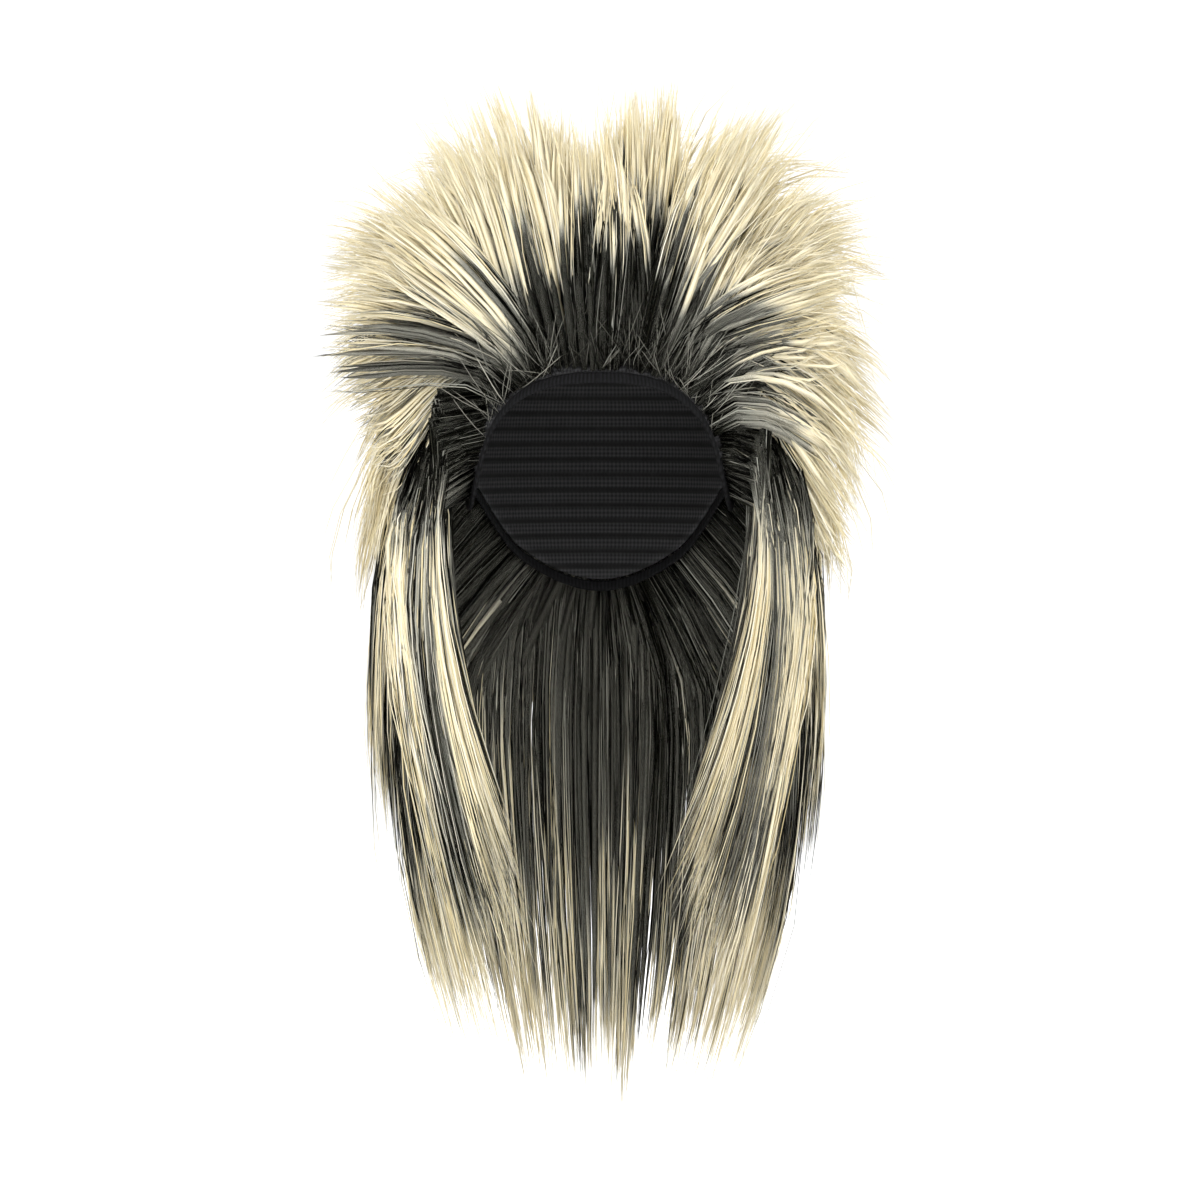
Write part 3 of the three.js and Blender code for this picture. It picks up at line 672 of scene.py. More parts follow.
@dataclass
class Fibres:
    """A batch of fibres or flat wisps that share their number of points.

    lines is (fibre, point, xyz); half and flat are each fibre's half width and how thick it is as a
    share of that; tone and span are its place and width across the map; pale is (fibre, point).
    """

    lines: Array
    half: Array
    flat: Array
    tone: Array
    span: Array
    pale: Array
    roll: Array

    def corners(self) -> Array:
        """The corners: three round each point of a line but the last, at thirds of a turn, squeezed flat
        and tapered by the fourth power of the distance along, and then the tip itself."""
        tangent = unit(np.gradient(self.lines, axis=1))
        middle = self.lines.mean(axis=1, keepdims=True) - np.array([0.0, 10.0, -60.0])
        across = unit(np.cross(tangent, np.broadcast_to(unit(middle), tangent.shape)))
        above = np.cross(tangent, across)
        cos = np.cos(self.roll)[:, None, None]
        sin = np.sin(self.roll)[:, None, None]
        side = across * cos + above * sin
        top = above * cos - across * sin
        along = np.linspace(0.0, 1.0, self.lines.shape[1])
        taper = (1.0 - 0.55 * along**4) * np.minimum(1.0, 0.55 + 3.0 * along)
        width = self.half[:, None] * taper[None, :]
        turn = np.radians([0.0, 120.0, 240.0])
        ring = (
            self.lines[:, :, None]
            + side[:, :, None] * (width[:, :, None] * np.cos(turn))[..., None]
            + top[:, :, None] * ((width * self.flat[:, None])[:, :, None] * np.sin(turn))[..., None]
        )
        rings = ring[:, :-1].reshape(len(self.lines), -1, 3)
        return np.concatenate([rings, self.lines[:, -1:]], axis=1)

    def faces(self) -> tuple[NDArray[np.int32], NDArray[np.int32]]:
        """The faces of one fibre: four-sided ones between rings, and three-sided ones at its ends."""
        rings = self.lines.shape[1] - 1
        at = np.arange(rings * 3).reshape(rings, 3)
        after = np.roll(at, -1, axis=1)
        walls = np.stack([at[:-1], after[:-1], after[1:], at[1:]], axis=-1).reshape(-1, 4)
        tip = np.full(3, rings * 3)
        ends = np.concatenate([[[0, 2, 1]], np.stack([at[-1], after[-1], tip], axis=-1)])
        return walls, ends

    def maps(self) -> Array:
        """The map: across it the tone with a little of the span at each side, and up it the paleness,
        with a tenth kept for the distance along so that no face is empty."""
        along = np.linspace(0.0, 1.0, self.lines.shape[1])[None, :]
        up = np.clip(self.pale * 0.9 + along * 0.1, 0.0, 1.0)
        over = self.tone[:, None, None] + self.span[:, None, None] * np.array([-1.0, 1.0, 1.0])
        over = np.broadcast_to(over, (*up.shape, 3))
        pairs = np.stack([np.clip(over, 0.0, 1.0), np.broadcast_to(up[..., None], over.shape)], axis=-1)
        rings = pairs[:, :-1].reshape(len(self.lines), -1, 2)
        return np.concatenate([rings, pairs[:, -1, 1:2]], axis=1)


def fibre_object(name: str, batches: list[Fibres]) -> bpy.types.Object:
    """One mesh object from batches of fibres: each fibre's corners and faces, one after another."""
    points: list[Array] = []
    walls: list[NDArray[np.int32]] = []
    ends: list[NDArray[np.int32]] = []
    pairs: list[Array] = []
    first = 0
    for batch in batches:
        made = batch.corners()
        count, per = made.shape[:2]
        start = first + np.arange(count)[:, None, None] * per
        wall, end = batch.faces()
        points.append(made.reshape(-1, 3))
        pairs.append(batch.maps().reshape(-1, 2))
        walls.append((start + wall[None]).reshape(-1, 4))
        ends.append((start + end[None]).reshape(-1, 3))
        first += count * per
    faces = [np.concatenate(walls), np.concatenate(ends)]
    per_point = np.concatenate(pairs)
    per_corner = per_point[np.concatenate([block.ravel() for block in faces])]
    return mesh_object(name, np.concatenate(points), faces, {"fibre": per_corner, "OFBake": per_corner})


@dataclass(frozen=True)
class Roots:
    """Where hairs leave the cap, how far they reach and how many degrees they sway round the head on
    the way: one value of each for every hair."""

    angle: Array
    share: Array
    reach: Array
    sway: Array


@dataclass(frozen=True)
class Gather:
    """One step of gathering: how many parts each part above has, and how they keep together.

    patch is how far their roots scatter in degrees and shares, pull how far their tips are drawn to the
    line above and power how late along it. reach and cut are ranges of factors on how far they go and
    how much of that is left, point is what a part at the edge loses of it, sway how many degrees they
    turn aside, wander how far they stray in millimetres, strays the share that hardly follow, and kin
    how alike they turn pale.
    """

    count: int
    patch: tuple[float, float]
    pull: float
    power: float = 1.3
    reach: tuple[float, float] = (0.97, 1.03)
    cut: tuple[float, float] = (0.97, 1.0)
    point: float = 0.0
    sway: float = 0.0
    wander: float = 2.0
    strays: float = 0.0
    kin: float = 0.5


@dataclass(frozen=True)
class Strands:
    """The lines of one level of gathering, with the share of each that is kept, how much it doubts
    that it is pale, and how early or late along it that is read."""

    roots: Roots
    lines: Array
    cut: Array
    doubt: Array
    shift: Array


SPIKED = (
    Gather(3, (11.0, 0.07), pull=0.25, reach=(0.83, 1.1), sway=9.0, wander=4.0),
    Gather(8, (5.0, 0.05), pull=0.94, power=1.3, point=0.24, reach=(0.94, 1.05)),
    Gather(6, (2.6, 0.03), pull=0.8, power=1.1, cut=(0.88, 1.02), wander=2.0, strays=0.08, kin=0.45),
)
HANGING = (
    Gather(3, (7.0, 0.05), pull=0.35, reach=(0.93, 1.05), wander=5.0, kin=0.3),
    Gather(7, (4.0, 0.04), pull=0.52, point=0.06, wander=3.0, kin=0.5),
    Gather(6, (2.0, 0.03), pull=0.7, power=1.0, cut=(0.9, 1.02), wander=1.5, strays=0.06, kin=0.5),
)
RIBBONS = Gather(2, (2.6, 0.03), pull=0.7, power=1.1, cut=(0.84, 0.96), wander=1.5, kin=0.7)


@dataclass
class HairPiece:
    """Hair sewn to one region of the cap: bunches of locks of wisps of fibres.

    Each part has its own line from its own root, and is drawn towards the line of the part that it
    belongs to, the more so the nearer the tip. Wisps at a lock's edge are shorter than those in its
    middle, which gives the lock its point.
    """

    name: str
    seed: int
    head: HeadForm
    angles: tuple[float, float]
    shares: tuple[float, float]
    bunches: int
    gathers: tuple[Gather, ...] = SPIKED
    steps: int = 5
    half_width: float = 0.36
    flat_half_width: float = 2.2
    reach_range: tuple[float, float] = (0.93, 1.05)
    sway: float = 0.0
    mottle: float = 12.0
    cover: int = 60
    cover_half_width: float = 3.4

    def line(self, roots: Roots) -> Array:
        """The lines of hair from roots, as (line, steps + 1, xyz)."""
        raise NotImplementedError

    def light(self, points: Array, travelled: Array, roots: Roots) -> Array:
        """The share of fibres that are pale at each point, from 0 to 1."""
        raise NotImplementedError

    def frost(self, points: Array, travelled: Array) -> Array:
        """The least paleness at each point, which turns some fibres silver among the dark ones."""
        return np.full(travelled.shape, 0.1)

    def share_at(self, along: Array) -> Array:
        """A share of the cap inside the region, for an even number from 0 to 1."""
        return self.shares[0] + (self.shares[1] - self.shares[0]) * along

    def angle_at(self, along: Array) -> Array:
        """An angle inside the region, for an even number from 0 to 1."""
        return self.angles[0] + (self.angles[1] - self.angles[0]) * along

    def bunch_strands(self, rng: np.random.Generator) -> Strands:
        """The bunches' lines, whose roots cover the region evenly: each is one step further round, and
        the golden share of the region further down."""
        index = np.arange(self.bunches)
        angle = self.angle_at((index + 0.5 + rng.uniform(-0.4, 0.4, self.bunches)) / self.bunches)
        share = self.share_at((0.5 + index * 0.618034) % 1.0)
        sway = self.sway * rng.uniform(-1, 1, self.bunches)
        roots = Roots(angle, share, rng.uniform(*self.reach_range, self.bunches), sway)
        even = np.ones(self.bunches)
        return Strands(roots, self.line(roots), even, rng.uniform(0, 1, self.bunches), rng.normal(0, 1, self.bunches))

    def gathered(self, above: Strands, gather: Gather, rng: np.random.Generator) -> Strands:
        """The strands of the next level down from those above.

        Args:
            above: The strands that the new ones belong to.
            gather: How the new ones keep together.
            rng: The source of chance.

        Returns:
            The new strands, in the order of those above.
        """
        of = np.repeat(np.arange(len(above.cut)), gather.count)
        count = len(of)
        stray = rng.uniform(0, 1, count) < gather.strays
        aside, beside = rng.uniform(-1, 1, (2, count))
        angle = folded(above.roots.angle[of] + aside * gather.patch[0], self.angles)
        share = folded(above.roots.share[of] + beside * gather.patch[1], self.shares)
        reach = above.roots.reach[of] * (rng.uniform(*gather.reach, count) + 0.05 * stray)
        sway = above.roots.sway[of] + gather.sway * rng.uniform(-1, 1, count)
        roots = Roots(angle, share, reach, sway)
        own = wandered(self.line(roots), gather.wander * np.where(stray, 3.0, 1.0), rng)
        along = np.linspace(0.0, 1.0, own.shape[1])[None, :]
        pull = gather.pull * np.where(stray, 0.25, rng.uniform(0.8, 1.1, count))[:, None] * along**gather.power
        edge = 0.5 * (aside**2 + beside**2)
        cut = above.cut[of] * (1.0 - gather.point * edge) * rng.uniform(*gather.cut, count)
        drawn = mixed(own, above.lines[of], np.clip(pull, 0.0, 0.97))
        return Strands(
            roots=roots,
            lines=self.head.kept_out(drawn, 1.2),
            cut=np.minimum(np.where(stray, 1.0, cut), 1.0),
            doubt=np.clip(0.5 + akin(gather.kin, above.doubt[of] - 0.5, rng.uniform(-0.5, 0.5, count)), 0.0, 1.0),
            shift=akin(gather.kin, above.shift[of], rng.normal(0, 1, count)),
        )

    def paleness(self, strands: Strands, lines: Array) -> Array:
        """How pale each line is along it: a smooth step where the share of pale fibres at a point
        passes the line's own doubt, read a chance distance early or late."""
        spans = np.linalg.norm(np.diff(lines, axis=1), axis=2)
        travelled = np.concatenate([np.zeros((len(lines), 1)), np.cumsum(spans, axis=1)], axis=1)
        early = self.mottle * strands.shift[:, None]
        read = lines - UP * early[..., None]
        late = np.maximum(travelled + early, 0.0)
        turned_pale = smooth(0.0, 0.3, 1.3 * self.light(read, late, strands.roots) - strands.doubt[:, None])
        return np.maximum(turned_pale, self.frost(lines, travelled) * (1.5 - strands.doubt[:, None]))

    def undercoat(self) -> Fibres:
        """Broad dark wisps from an even spread of roots, half as long as the rest, that hide the cap."""
        rng = np.random.default_rng(self.seed + 900)
        index = np.arange(self.cover)
        even = np.ones(self.cover)
        along = (index * 0.7549 + 0.5) % 1.0
        roots = Roots(self.angle_at((index + 0.5) / self.cover), self.share_at(along), 0.92 * even, 0.0 * even)
        lines = self.head.kept_out(shortened(self.line(roots), 0.42 * even), 1.2)
        return Fibres(
            lines=lines,
            half=self.cover_half_width * rng.uniform(0.8, 1.2, self.cover),
            flat=0.14 * even,
            tone=rng.uniform(0.2, 0.8, self.cover),
            span=0.19 * even,
            pale=self.frost(lines, np.zeros(lines.shape[:2])),
            roll=rng.uniform(-0.4, 0.4, self.cover),
        )

    def batches(self) -> list[Fibres]:
        """The fibres, the flat wisps that fill the hair behind them, and the undercoat."""
        rng = np.random.default_rng(self.seed)
        strands = self.bunch_strands(rng)
        for gather in self.gathers[:-1]:
            strands = self.gathered(strands, gather, rng)
        fibres = self.gathered(strands, self.gathers[-1], rng)
        ribbons = self.gathered(strands, RIBBONS, rng)
        lines = drawn_in(shortened(fibres.lines, fibres.cut), LOWEST, HIGHEST)
        total = len(lines)
        fine = Fibres(
            lines=lines,
            half=self.half_width * rng.uniform(0.7, 1.25, total),
            flat=np.ones(total),
            tone=rng.uniform(0.02, 0.98, total),
            span=np.full(total, 0.003),
            pale=self.paleness(fibres, lines),
            roll=rng.uniform(0, math.tau, total),
        )
        filler = drawn_in(shortened(ribbons.lines, ribbons.cut), LOWEST, HIGHEST)
        count = len(filler)
        fill = Fibres(
            lines=filler,
            half=self.flat_half_width * rng.uniform(0.7, 1.2, count),
            flat=np.full(count, 0.22),
            tone=rng.uniform(0.2, 0.8, count),
            span=np.full(count, 0.15),
            pale=self.paleness(ribbons, filler),
            roll=rng.uniform(-0.5, 0.5, count),
        )
        return [fine, fill, *([self.undercoat()] if self.cover else [])]

    def build(self, material: bpy.types.Material) -> None:
        """Makes the piece and sets it in place of the frame's node of the same name."""
        placed(fibre_object(f"{self.name}_fibres", self.batches()), material, self.name)


@dataclass
class SpikedHair(HairPiece):
    """Short hair that stands off the cap and leans over to the dome of tips."""

    sway: float = 7.0
    reach_range: tuple[float, float] = (0.93, 1.19)
    dome: DomeForm = DomeForm()

    def droop(self, roots: Roots) -> Array:
        """How far the tips hang, as a share of the dome's rise."""
        return np.zeros_like(roots.share)

    def line(self, roots: Roots) -> Array:
        """The spikes' lines on the dome."""
        return self.dome.lines(self.head, roots, self.droop(roots), self.steps)


@dataclass
class CrownSpikes(SpikedHair):
    """The top and the back of the crown, all round."""

    def angle_at(self, along: Array) -> Array:
        """More roots at the back, whose hair spreads over the most of the dome, by a power of the turn."""
        turn = 2.0 * along - 1.0
        return 180.0 * np.sign(turn) * np.abs(turn) ** 0.6

    def share_at(self, along: Array) -> Array:
        """More roots towards the edge, though fewer than the square root gives, which covers a disc
        evenly: the hair at the top has more of the dome to cover."""
        return self.shares[1] * along**0.74

    def light(self, points: Array, travelled: Array, roots: Roots) -> Array:
        """Pale past 60 mm at the front. At the back the hair stays dark, but for its tips at the top and
        the sides, some streaks, and one pale tuft below the whorl."""
        x, y, z = points[..., 0], points[..., 1], points[..., 2]
        back = smooth(15.0, 85.0, points[:, :1, 1]) * smooth(0.05, 0.6, unit(points[:, :1])[..., 1])
        front = np.interp(travelled, [0, 40, 62, 86], [0, 0.03, 0.6, 1.0])
        behind = np.interp(travelled, [0, 60, 100, 135], [0, 0.04, 0.12, 0.2])
        rim = smooth(0.8, 1.08, np.hypot(x / 105.0, (z + 20.0) / 100.0)) * smooth(34.0, 66.0, travelled)
        tuft = hump(6.0, 12.0, x) * hump(10.0, 26.0, z) * smooth(60.0, 84.0, y)
        return front + (np.maximum(np.maximum(behind, 0.92 * rim), 0.9 * tuft) - front) * back


@dataclass
class BrowSpikes(SpikedHair):
    """The hair that rises from the hairline and fans out over the forehead.

    Short fine hairs grow along the hairline itself, in every direction.
    """

    down_count: int = 420
    down_length: tuple[float, float] = (14.0, 46.0)

    def down(self) -> Fibres:
        """The short hairs: from the last of the cap they lean outwards and upwards by chance, and curl."""
        rng = np.random.default_rng(self.seed + 500)
        angle = rng.uniform(*self.angles, self.down_count)
        root = self.head.cap_point(angle, rng.uniform(0.93, 1.0, self.down_count), 1.2)
        normal = self.head.normal_at(angle, -root[:, 2])
        length = rng.uniform(*self.down_length, self.down_count)[:, None]
        chance = rng.normal(0, 0.5, root.shape) * np.array([1.0, 1.0, 0.3])
        way = unit(0.55 * normal + UP * rng.uniform(0.1, 1.1, (self.down_count, 1)) + chance)
        bend = unit(way + rng.normal(0, 0.4, root.shape) + 0.5 * UP)
        stops = [root, root + way * length * 0.4, root + (way + bend) * length * 0.42, root + (way + bend) * length * 0.6]
        return Fibres(
            lines=drawn_in(bent(np.stack(stops, axis=1), self.steps), LOWEST, HIGHEST),
            half=0.22 * rng.uniform(0.7, 1.2, self.down_count),
            flat=np.ones(self.down_count),
            tone=rng.uniform(0.02, 0.98, self.down_count),
            span=np.full(self.down_count, 0.003),
            pale=np.broadcast_to(0.16 + 0.2 * smooth(8.0, 50.0, np.abs(root[:, :1])), (self.down_count, self.steps + 1)),
            roll=rng.uniform(0, math.tau, self.down_count),
        )

    def frost(self, points: Array, travelled: Array) -> Array:
        """Little in the middle of the forehead, and more towards the temples, most on the right."""
        most = 0.34 + 0.16 * smooth(0.0, 60.0, -points[..., 0])
        return 0.04 + most * smooth(20.0, 66.0, np.abs(points[..., 0])) * smooth(2.0, 26.0, travelled)

    def batches(self) -> list[Fibres]:
        """The spikes' fibres and wisps, and the down."""
        return [*super().batches(), self.down()]

    def light(self, points: Array, travelled: Array, roots: Roots) -> Array:
        """Pale past 65 mm, thinner along a gap over the brow, and dark in a band low on the right."""
        share = np.interp(travelled, [0, 44, 68, 90], [0, 0.02, 0.55, 1.0])
        gap = 0.4 * hump(3.0, 8.0, points[..., 0]) * (1.0 - smooth(85.0, 110.0, travelled))
        band = 0.5 * hump(-42.0, 24.0, points[..., 2]) * smooth(60.0, 85.0, -points[..., 0])
        return share * (1.0 - gap) * (1.0 - band)


@dataclass
class Wing(SpikedHair):
    """The hair that flares out over one ear and droops below it."""

    side: Side = Side.LEFT

    def lowest(self, roots: Roots) -> Array:
        """1 for the hair along the wing's lower edge, in front of the ear, and 0 away from it."""
        return smooth(0.63, 0.74, roots.share) * (1.0 - smooth(95.0, 118.0, np.abs(roots.angle)))

    def droop(self, roots: Roots) -> Array:
        """None at the top of the wing, a quarter of the rise below, and more along its lower edge."""
        return 0.25 * smooth(0.56, 0.7, roots.share) + 0.7 * self.lowest(roots)

    def line(self, roots: Roots) -> Array:
        """The spikes' lines, nearer the head where they hang."""
        nearer = replace(roots, reach=roots.reach * (1.0 - 0.16 * self.lowest(roots)))
        return self.dome.lines(self.head, nearer, self.droop(roots), self.steps)

    def frost(self, points: Array, travelled: Array) -> Array:
        """A silver band from the temple outwards, lighter on the right."""
        most = 0.3 if self.side is Side.LEFT else 0.64
        return 0.14 + most * hump(-48.0, 34.0, points[..., 2]) * smooth(6.0, 45.0, travelled)

    def light(self, points: Array, travelled: Array, roots: Roots) -> Array:
        """Pale past 45 mm on the left. On the right later, with a dark band across."""
        if self.side is Side.LEFT:
            return np.interp(travelled, [0, 26, 46, 64], [0, 0.04, 0.6, 1.0])
        share = np.interp(travelled, [0, 32, 58, 82], [0, 0.04, 0.55, 1.0])
        return share * (1.0 - 0.5 * hump(-44.0, 24.0, points[..., 2]))


@dataclass
class FaceLocks(HairPiece):
    """The long locks that hang in front of one shoulder and frame the face."""

    side: Side = Side.LEFT
    length: float = 416.0
    spread: float = 101.0
    chest: float = 76.0
    bulge: float = 16.0
    sweep: float = 12.0
    depths: tuple[float, ...] = (0.27, 0.4, 0.55, 0.72, 0.87, 1.0)
    outs: tuple[float, ...] = (0.95, 1.02, 1.0, 0.88, 0.73, 0.58)
    fronts: tuple[float, ...] = (0.6, 0.58, 0.68, 0.85, 0.96, 1.0)
    lock_angles: tuple[float, ...] = (62, 65, 71, 81, 88)
    lengths: tuple[float, ...] = (0.83, 0.83, 1.0, 0.88, 0.76)
    shifts: tuple[float, ...] = (-0.2, -0.12, 0.0, 0.15, 0.2)
    bends: tuple[float, ...] = (-0.1, 0.14, 0.0, 0.0, 0.0)
    forwards: tuple[float, ...] = (0.5, 1.0, 1.0, 0.8, 0.6)

    def line(self, roots: Roots) -> Array:
        """The locks' lines: out of the cap over a bulge, then down the path of the nearest locks, whose
        length, shift, bend and place forward are read by angle."""
        turn = np.abs(roots.angle)
        length, shift, bend, onward = (
            np.interp(turn, self.lock_angles, column)[:, None]
            for column in (self.lengths, self.shifts, self.bends, self.forwards)
        )
        depth = np.array(self.depths)[None, :]
        out = np.array(self.outs) + shift * np.minimum(1.0, 2 * depth) - bend * depth**3
        root = self.head.cap_point(roots.angle, roots.share, 1.0)
        forward = 1.0 - smooth(62.0, 84.0, turn)
        bulge = self.bulge * (1.0 + 0.6 * forward * (1.0 - smooth(0.74, 1.0, roots.share)))[:, None]
        swept = self.side.value * self.sweep * forward
        swell = root + self.head.normal_at(roots.angle, -root[:, 2]) * bulge
        swell[:, 0] += swept
        z = -self.length * depth * length * roots.reach[:, None]
        z = np.minimum(z, swell[:, 2:] - 6.0 * np.arange(1, len(self.depths) + 1))
        x = self.side.value * self.spread * out
        y = -self.chest * np.array(self.fronts) * onward
        hung = np.stack([x, np.broadcast_to(y, x.shape), z], axis=-1)
        return threaded(np.concatenate([root[:, None], swell[:, None], hung], axis=1), self.steps)

    def frost(self, points: Array, travelled: Array) -> Array:
        """More away from the neck and below the ear."""
        return 0.12 + 0.26 * smooth(50.0, 100.0, np.abs(points[..., 0])) * smooth(70.0, 150.0, -points[..., 2])

    def light(self, points: Array, travelled: Array, roots: Roots) -> Array:
        """Dark by the neck. Further out the longest lock is pale only towards its tip, and those above it
        are streaked with pale from the ear down."""
        depth = -points[..., 2]
        turn = np.abs(roots.angle)[:, None]
        upper = np.interp(depth, [0, 110, 145, 300, 345], [0, 0.05, 0.72, 0.8, 1.0])
        lower = np.interp(depth, [0, 110, 150, 300, 345, 376], [0, 0.05, 0.4, 0.3, 0.25, 1.0])
        longest = smooth(66.0, 69.0, turn) * (1.0 - smooth(75.0, 79.0, turn))
        outer = 0.14 + 0.86 * smooth(82.0, 92.0, np.abs(points[:, 3:4, 0]))
        tips = smooth(330.0, 375.0, depth)
        return (upper + (lower - upper) * longest) * np.maximum(outer, tips)


@dataclass
class HangingHair(HairPiece):
    """Hair that hangs down the curtain's outline."""

    curtain: CurtainForm = CurtainForm()
    length: float = 340.0
    mottle: float = 30.0
    ragged: float = 0.2
    inset: float = 0.0
    half_turn: float = 52.0
    spread: float = 94.0
    evening: float = 1.25

    def frost(self, points: Array, travelled: Array) -> Array:
        """A little at the top, and more from the shoulders down."""
        return 0.1 + 0.12 * smooth(60.0, 160.0, -points[..., 2])

    def line(self, roots: Roots) -> Array:
        """The lines down the back: spread round the outline, by a power that spaces them evenly on its
        squared shape, and shorter towards the sides."""
        from_middle = roots.angle - 180.0
        turn = np.abs(from_middle / self.half_turn) ** self.evening
        round_ = 180.0 + self.spread * np.sign(from_middle) * turn
        depth = self.length * (1 - self.ragged * (1 - np.cos(np.radians(1.2 * from_middle)))) * roots.reach
        inset = np.full(len(round_), self.inset)
        return self.curtain.lines(self.head, roots.angle, roots.share, round_, depth, inset, self.steps)


@dataclass
class BackLayer(HangingHair):
    """The upper layer down the back."""

    def light(self, points: Array, travelled: Array, roots: Roots) -> Array:
        """Dark at the top, then streaked with pale, more so on the right."""
        depth = -points[..., 2]
        share = np.interp(depth, [0, 50, 110, 180, 290, 340], [0, 0.04, 0.26, 0.32, 0.42, 0.5])
        return share + 0.28 * smooth(10.0, 90.0, -points[..., 0]) * smooth(80.0, 150.0, depth)


@dataclass
class NapeLayer(HangingHair):
    """The lower, longer layer down the back."""

    def light(self, points: Array, travelled: Array, roots: Roots) -> Array:
        """Dark behind the upper layer and just below its tips, and pale at its own tips, which start
        higher towards the sides."""
        depth = -points[..., 2]
        middle = hump(0.0, 80.0, points[..., 0])
        within = np.interp(depth, [0, 110, 300, 340, 400, 430, 470], [0, 0.08, 0.1, 0.38, 0.4, 0.8, 1.0])
        beside = np.interp(depth, [0, 110, 260, 330, 400], [0, 0.08, 0.25, 0.8, 1.0])
        return beside + (within - beside) * middle


@dataclass
class SideLayer(HairPiece):
    """The hair behind one ear: a shorter outer row over a longer inner one."""

    side: Side = Side.LEFT
    curtain: CurtainForm = CurtainForm()
    outer_length: float = 322.0
    inner_length: float = 392.0
    layer_step: float = 13.0
    parting: float = 0.88

    def inner(self, roots: Roots) -> Array:
        """1 for hair of the inner row and 0 for the outer."""
        return smooth(self.parting - 0.02, self.parting + 0.02, roots.share)

    def line(self, roots: Roots) -> Array:
        """The lines of both rows: roots below the parting hang inside and reach further down."""
        turn = np.abs(roots.angle)
        inner = self.inner(roots)
        outer_depth = self.outer_length * np.interp(turn, [92, 95, 106, 118, 127], [0.62, 0.7, 1.0, 0.84, 0.9])
        inner_depth = self.inner_length * np.interp(turn, [92, 100, 113], [0.84, 0.92, 1.0])
        depth = (outer_depth + (inner_depth - outer_depth) * inner) * roots.reach
        round_ = np.interp(turn, [90, 100, 113, 128], [70, 82, 97, 108]) * self.side.value
        inset = 4.0 + self.layer_step * inner
        return self.curtain.lines(self.head, roots.angle, roots.share, round_, depth, inset, self.steps)

    def light(self, points: Array, travelled: Array, roots: Roots) -> Array:
        """Dark at the top, then mostly pale in the outer row and mostly dark in the inner one."""
        depth = -points[..., 2]
        outer = np.interp(depth, [0, 90, 130, 200, 300, 330], [0, 0.1, 0.5, 0.68, 0.7, 0.9])
        inner = np.interp(depth, [0, 90, 300, 350, 390], [0, 0.04, 0.08, 0.5, 0.9])
        return outer + (inner - outer) * self.inner(roots)[:, None]


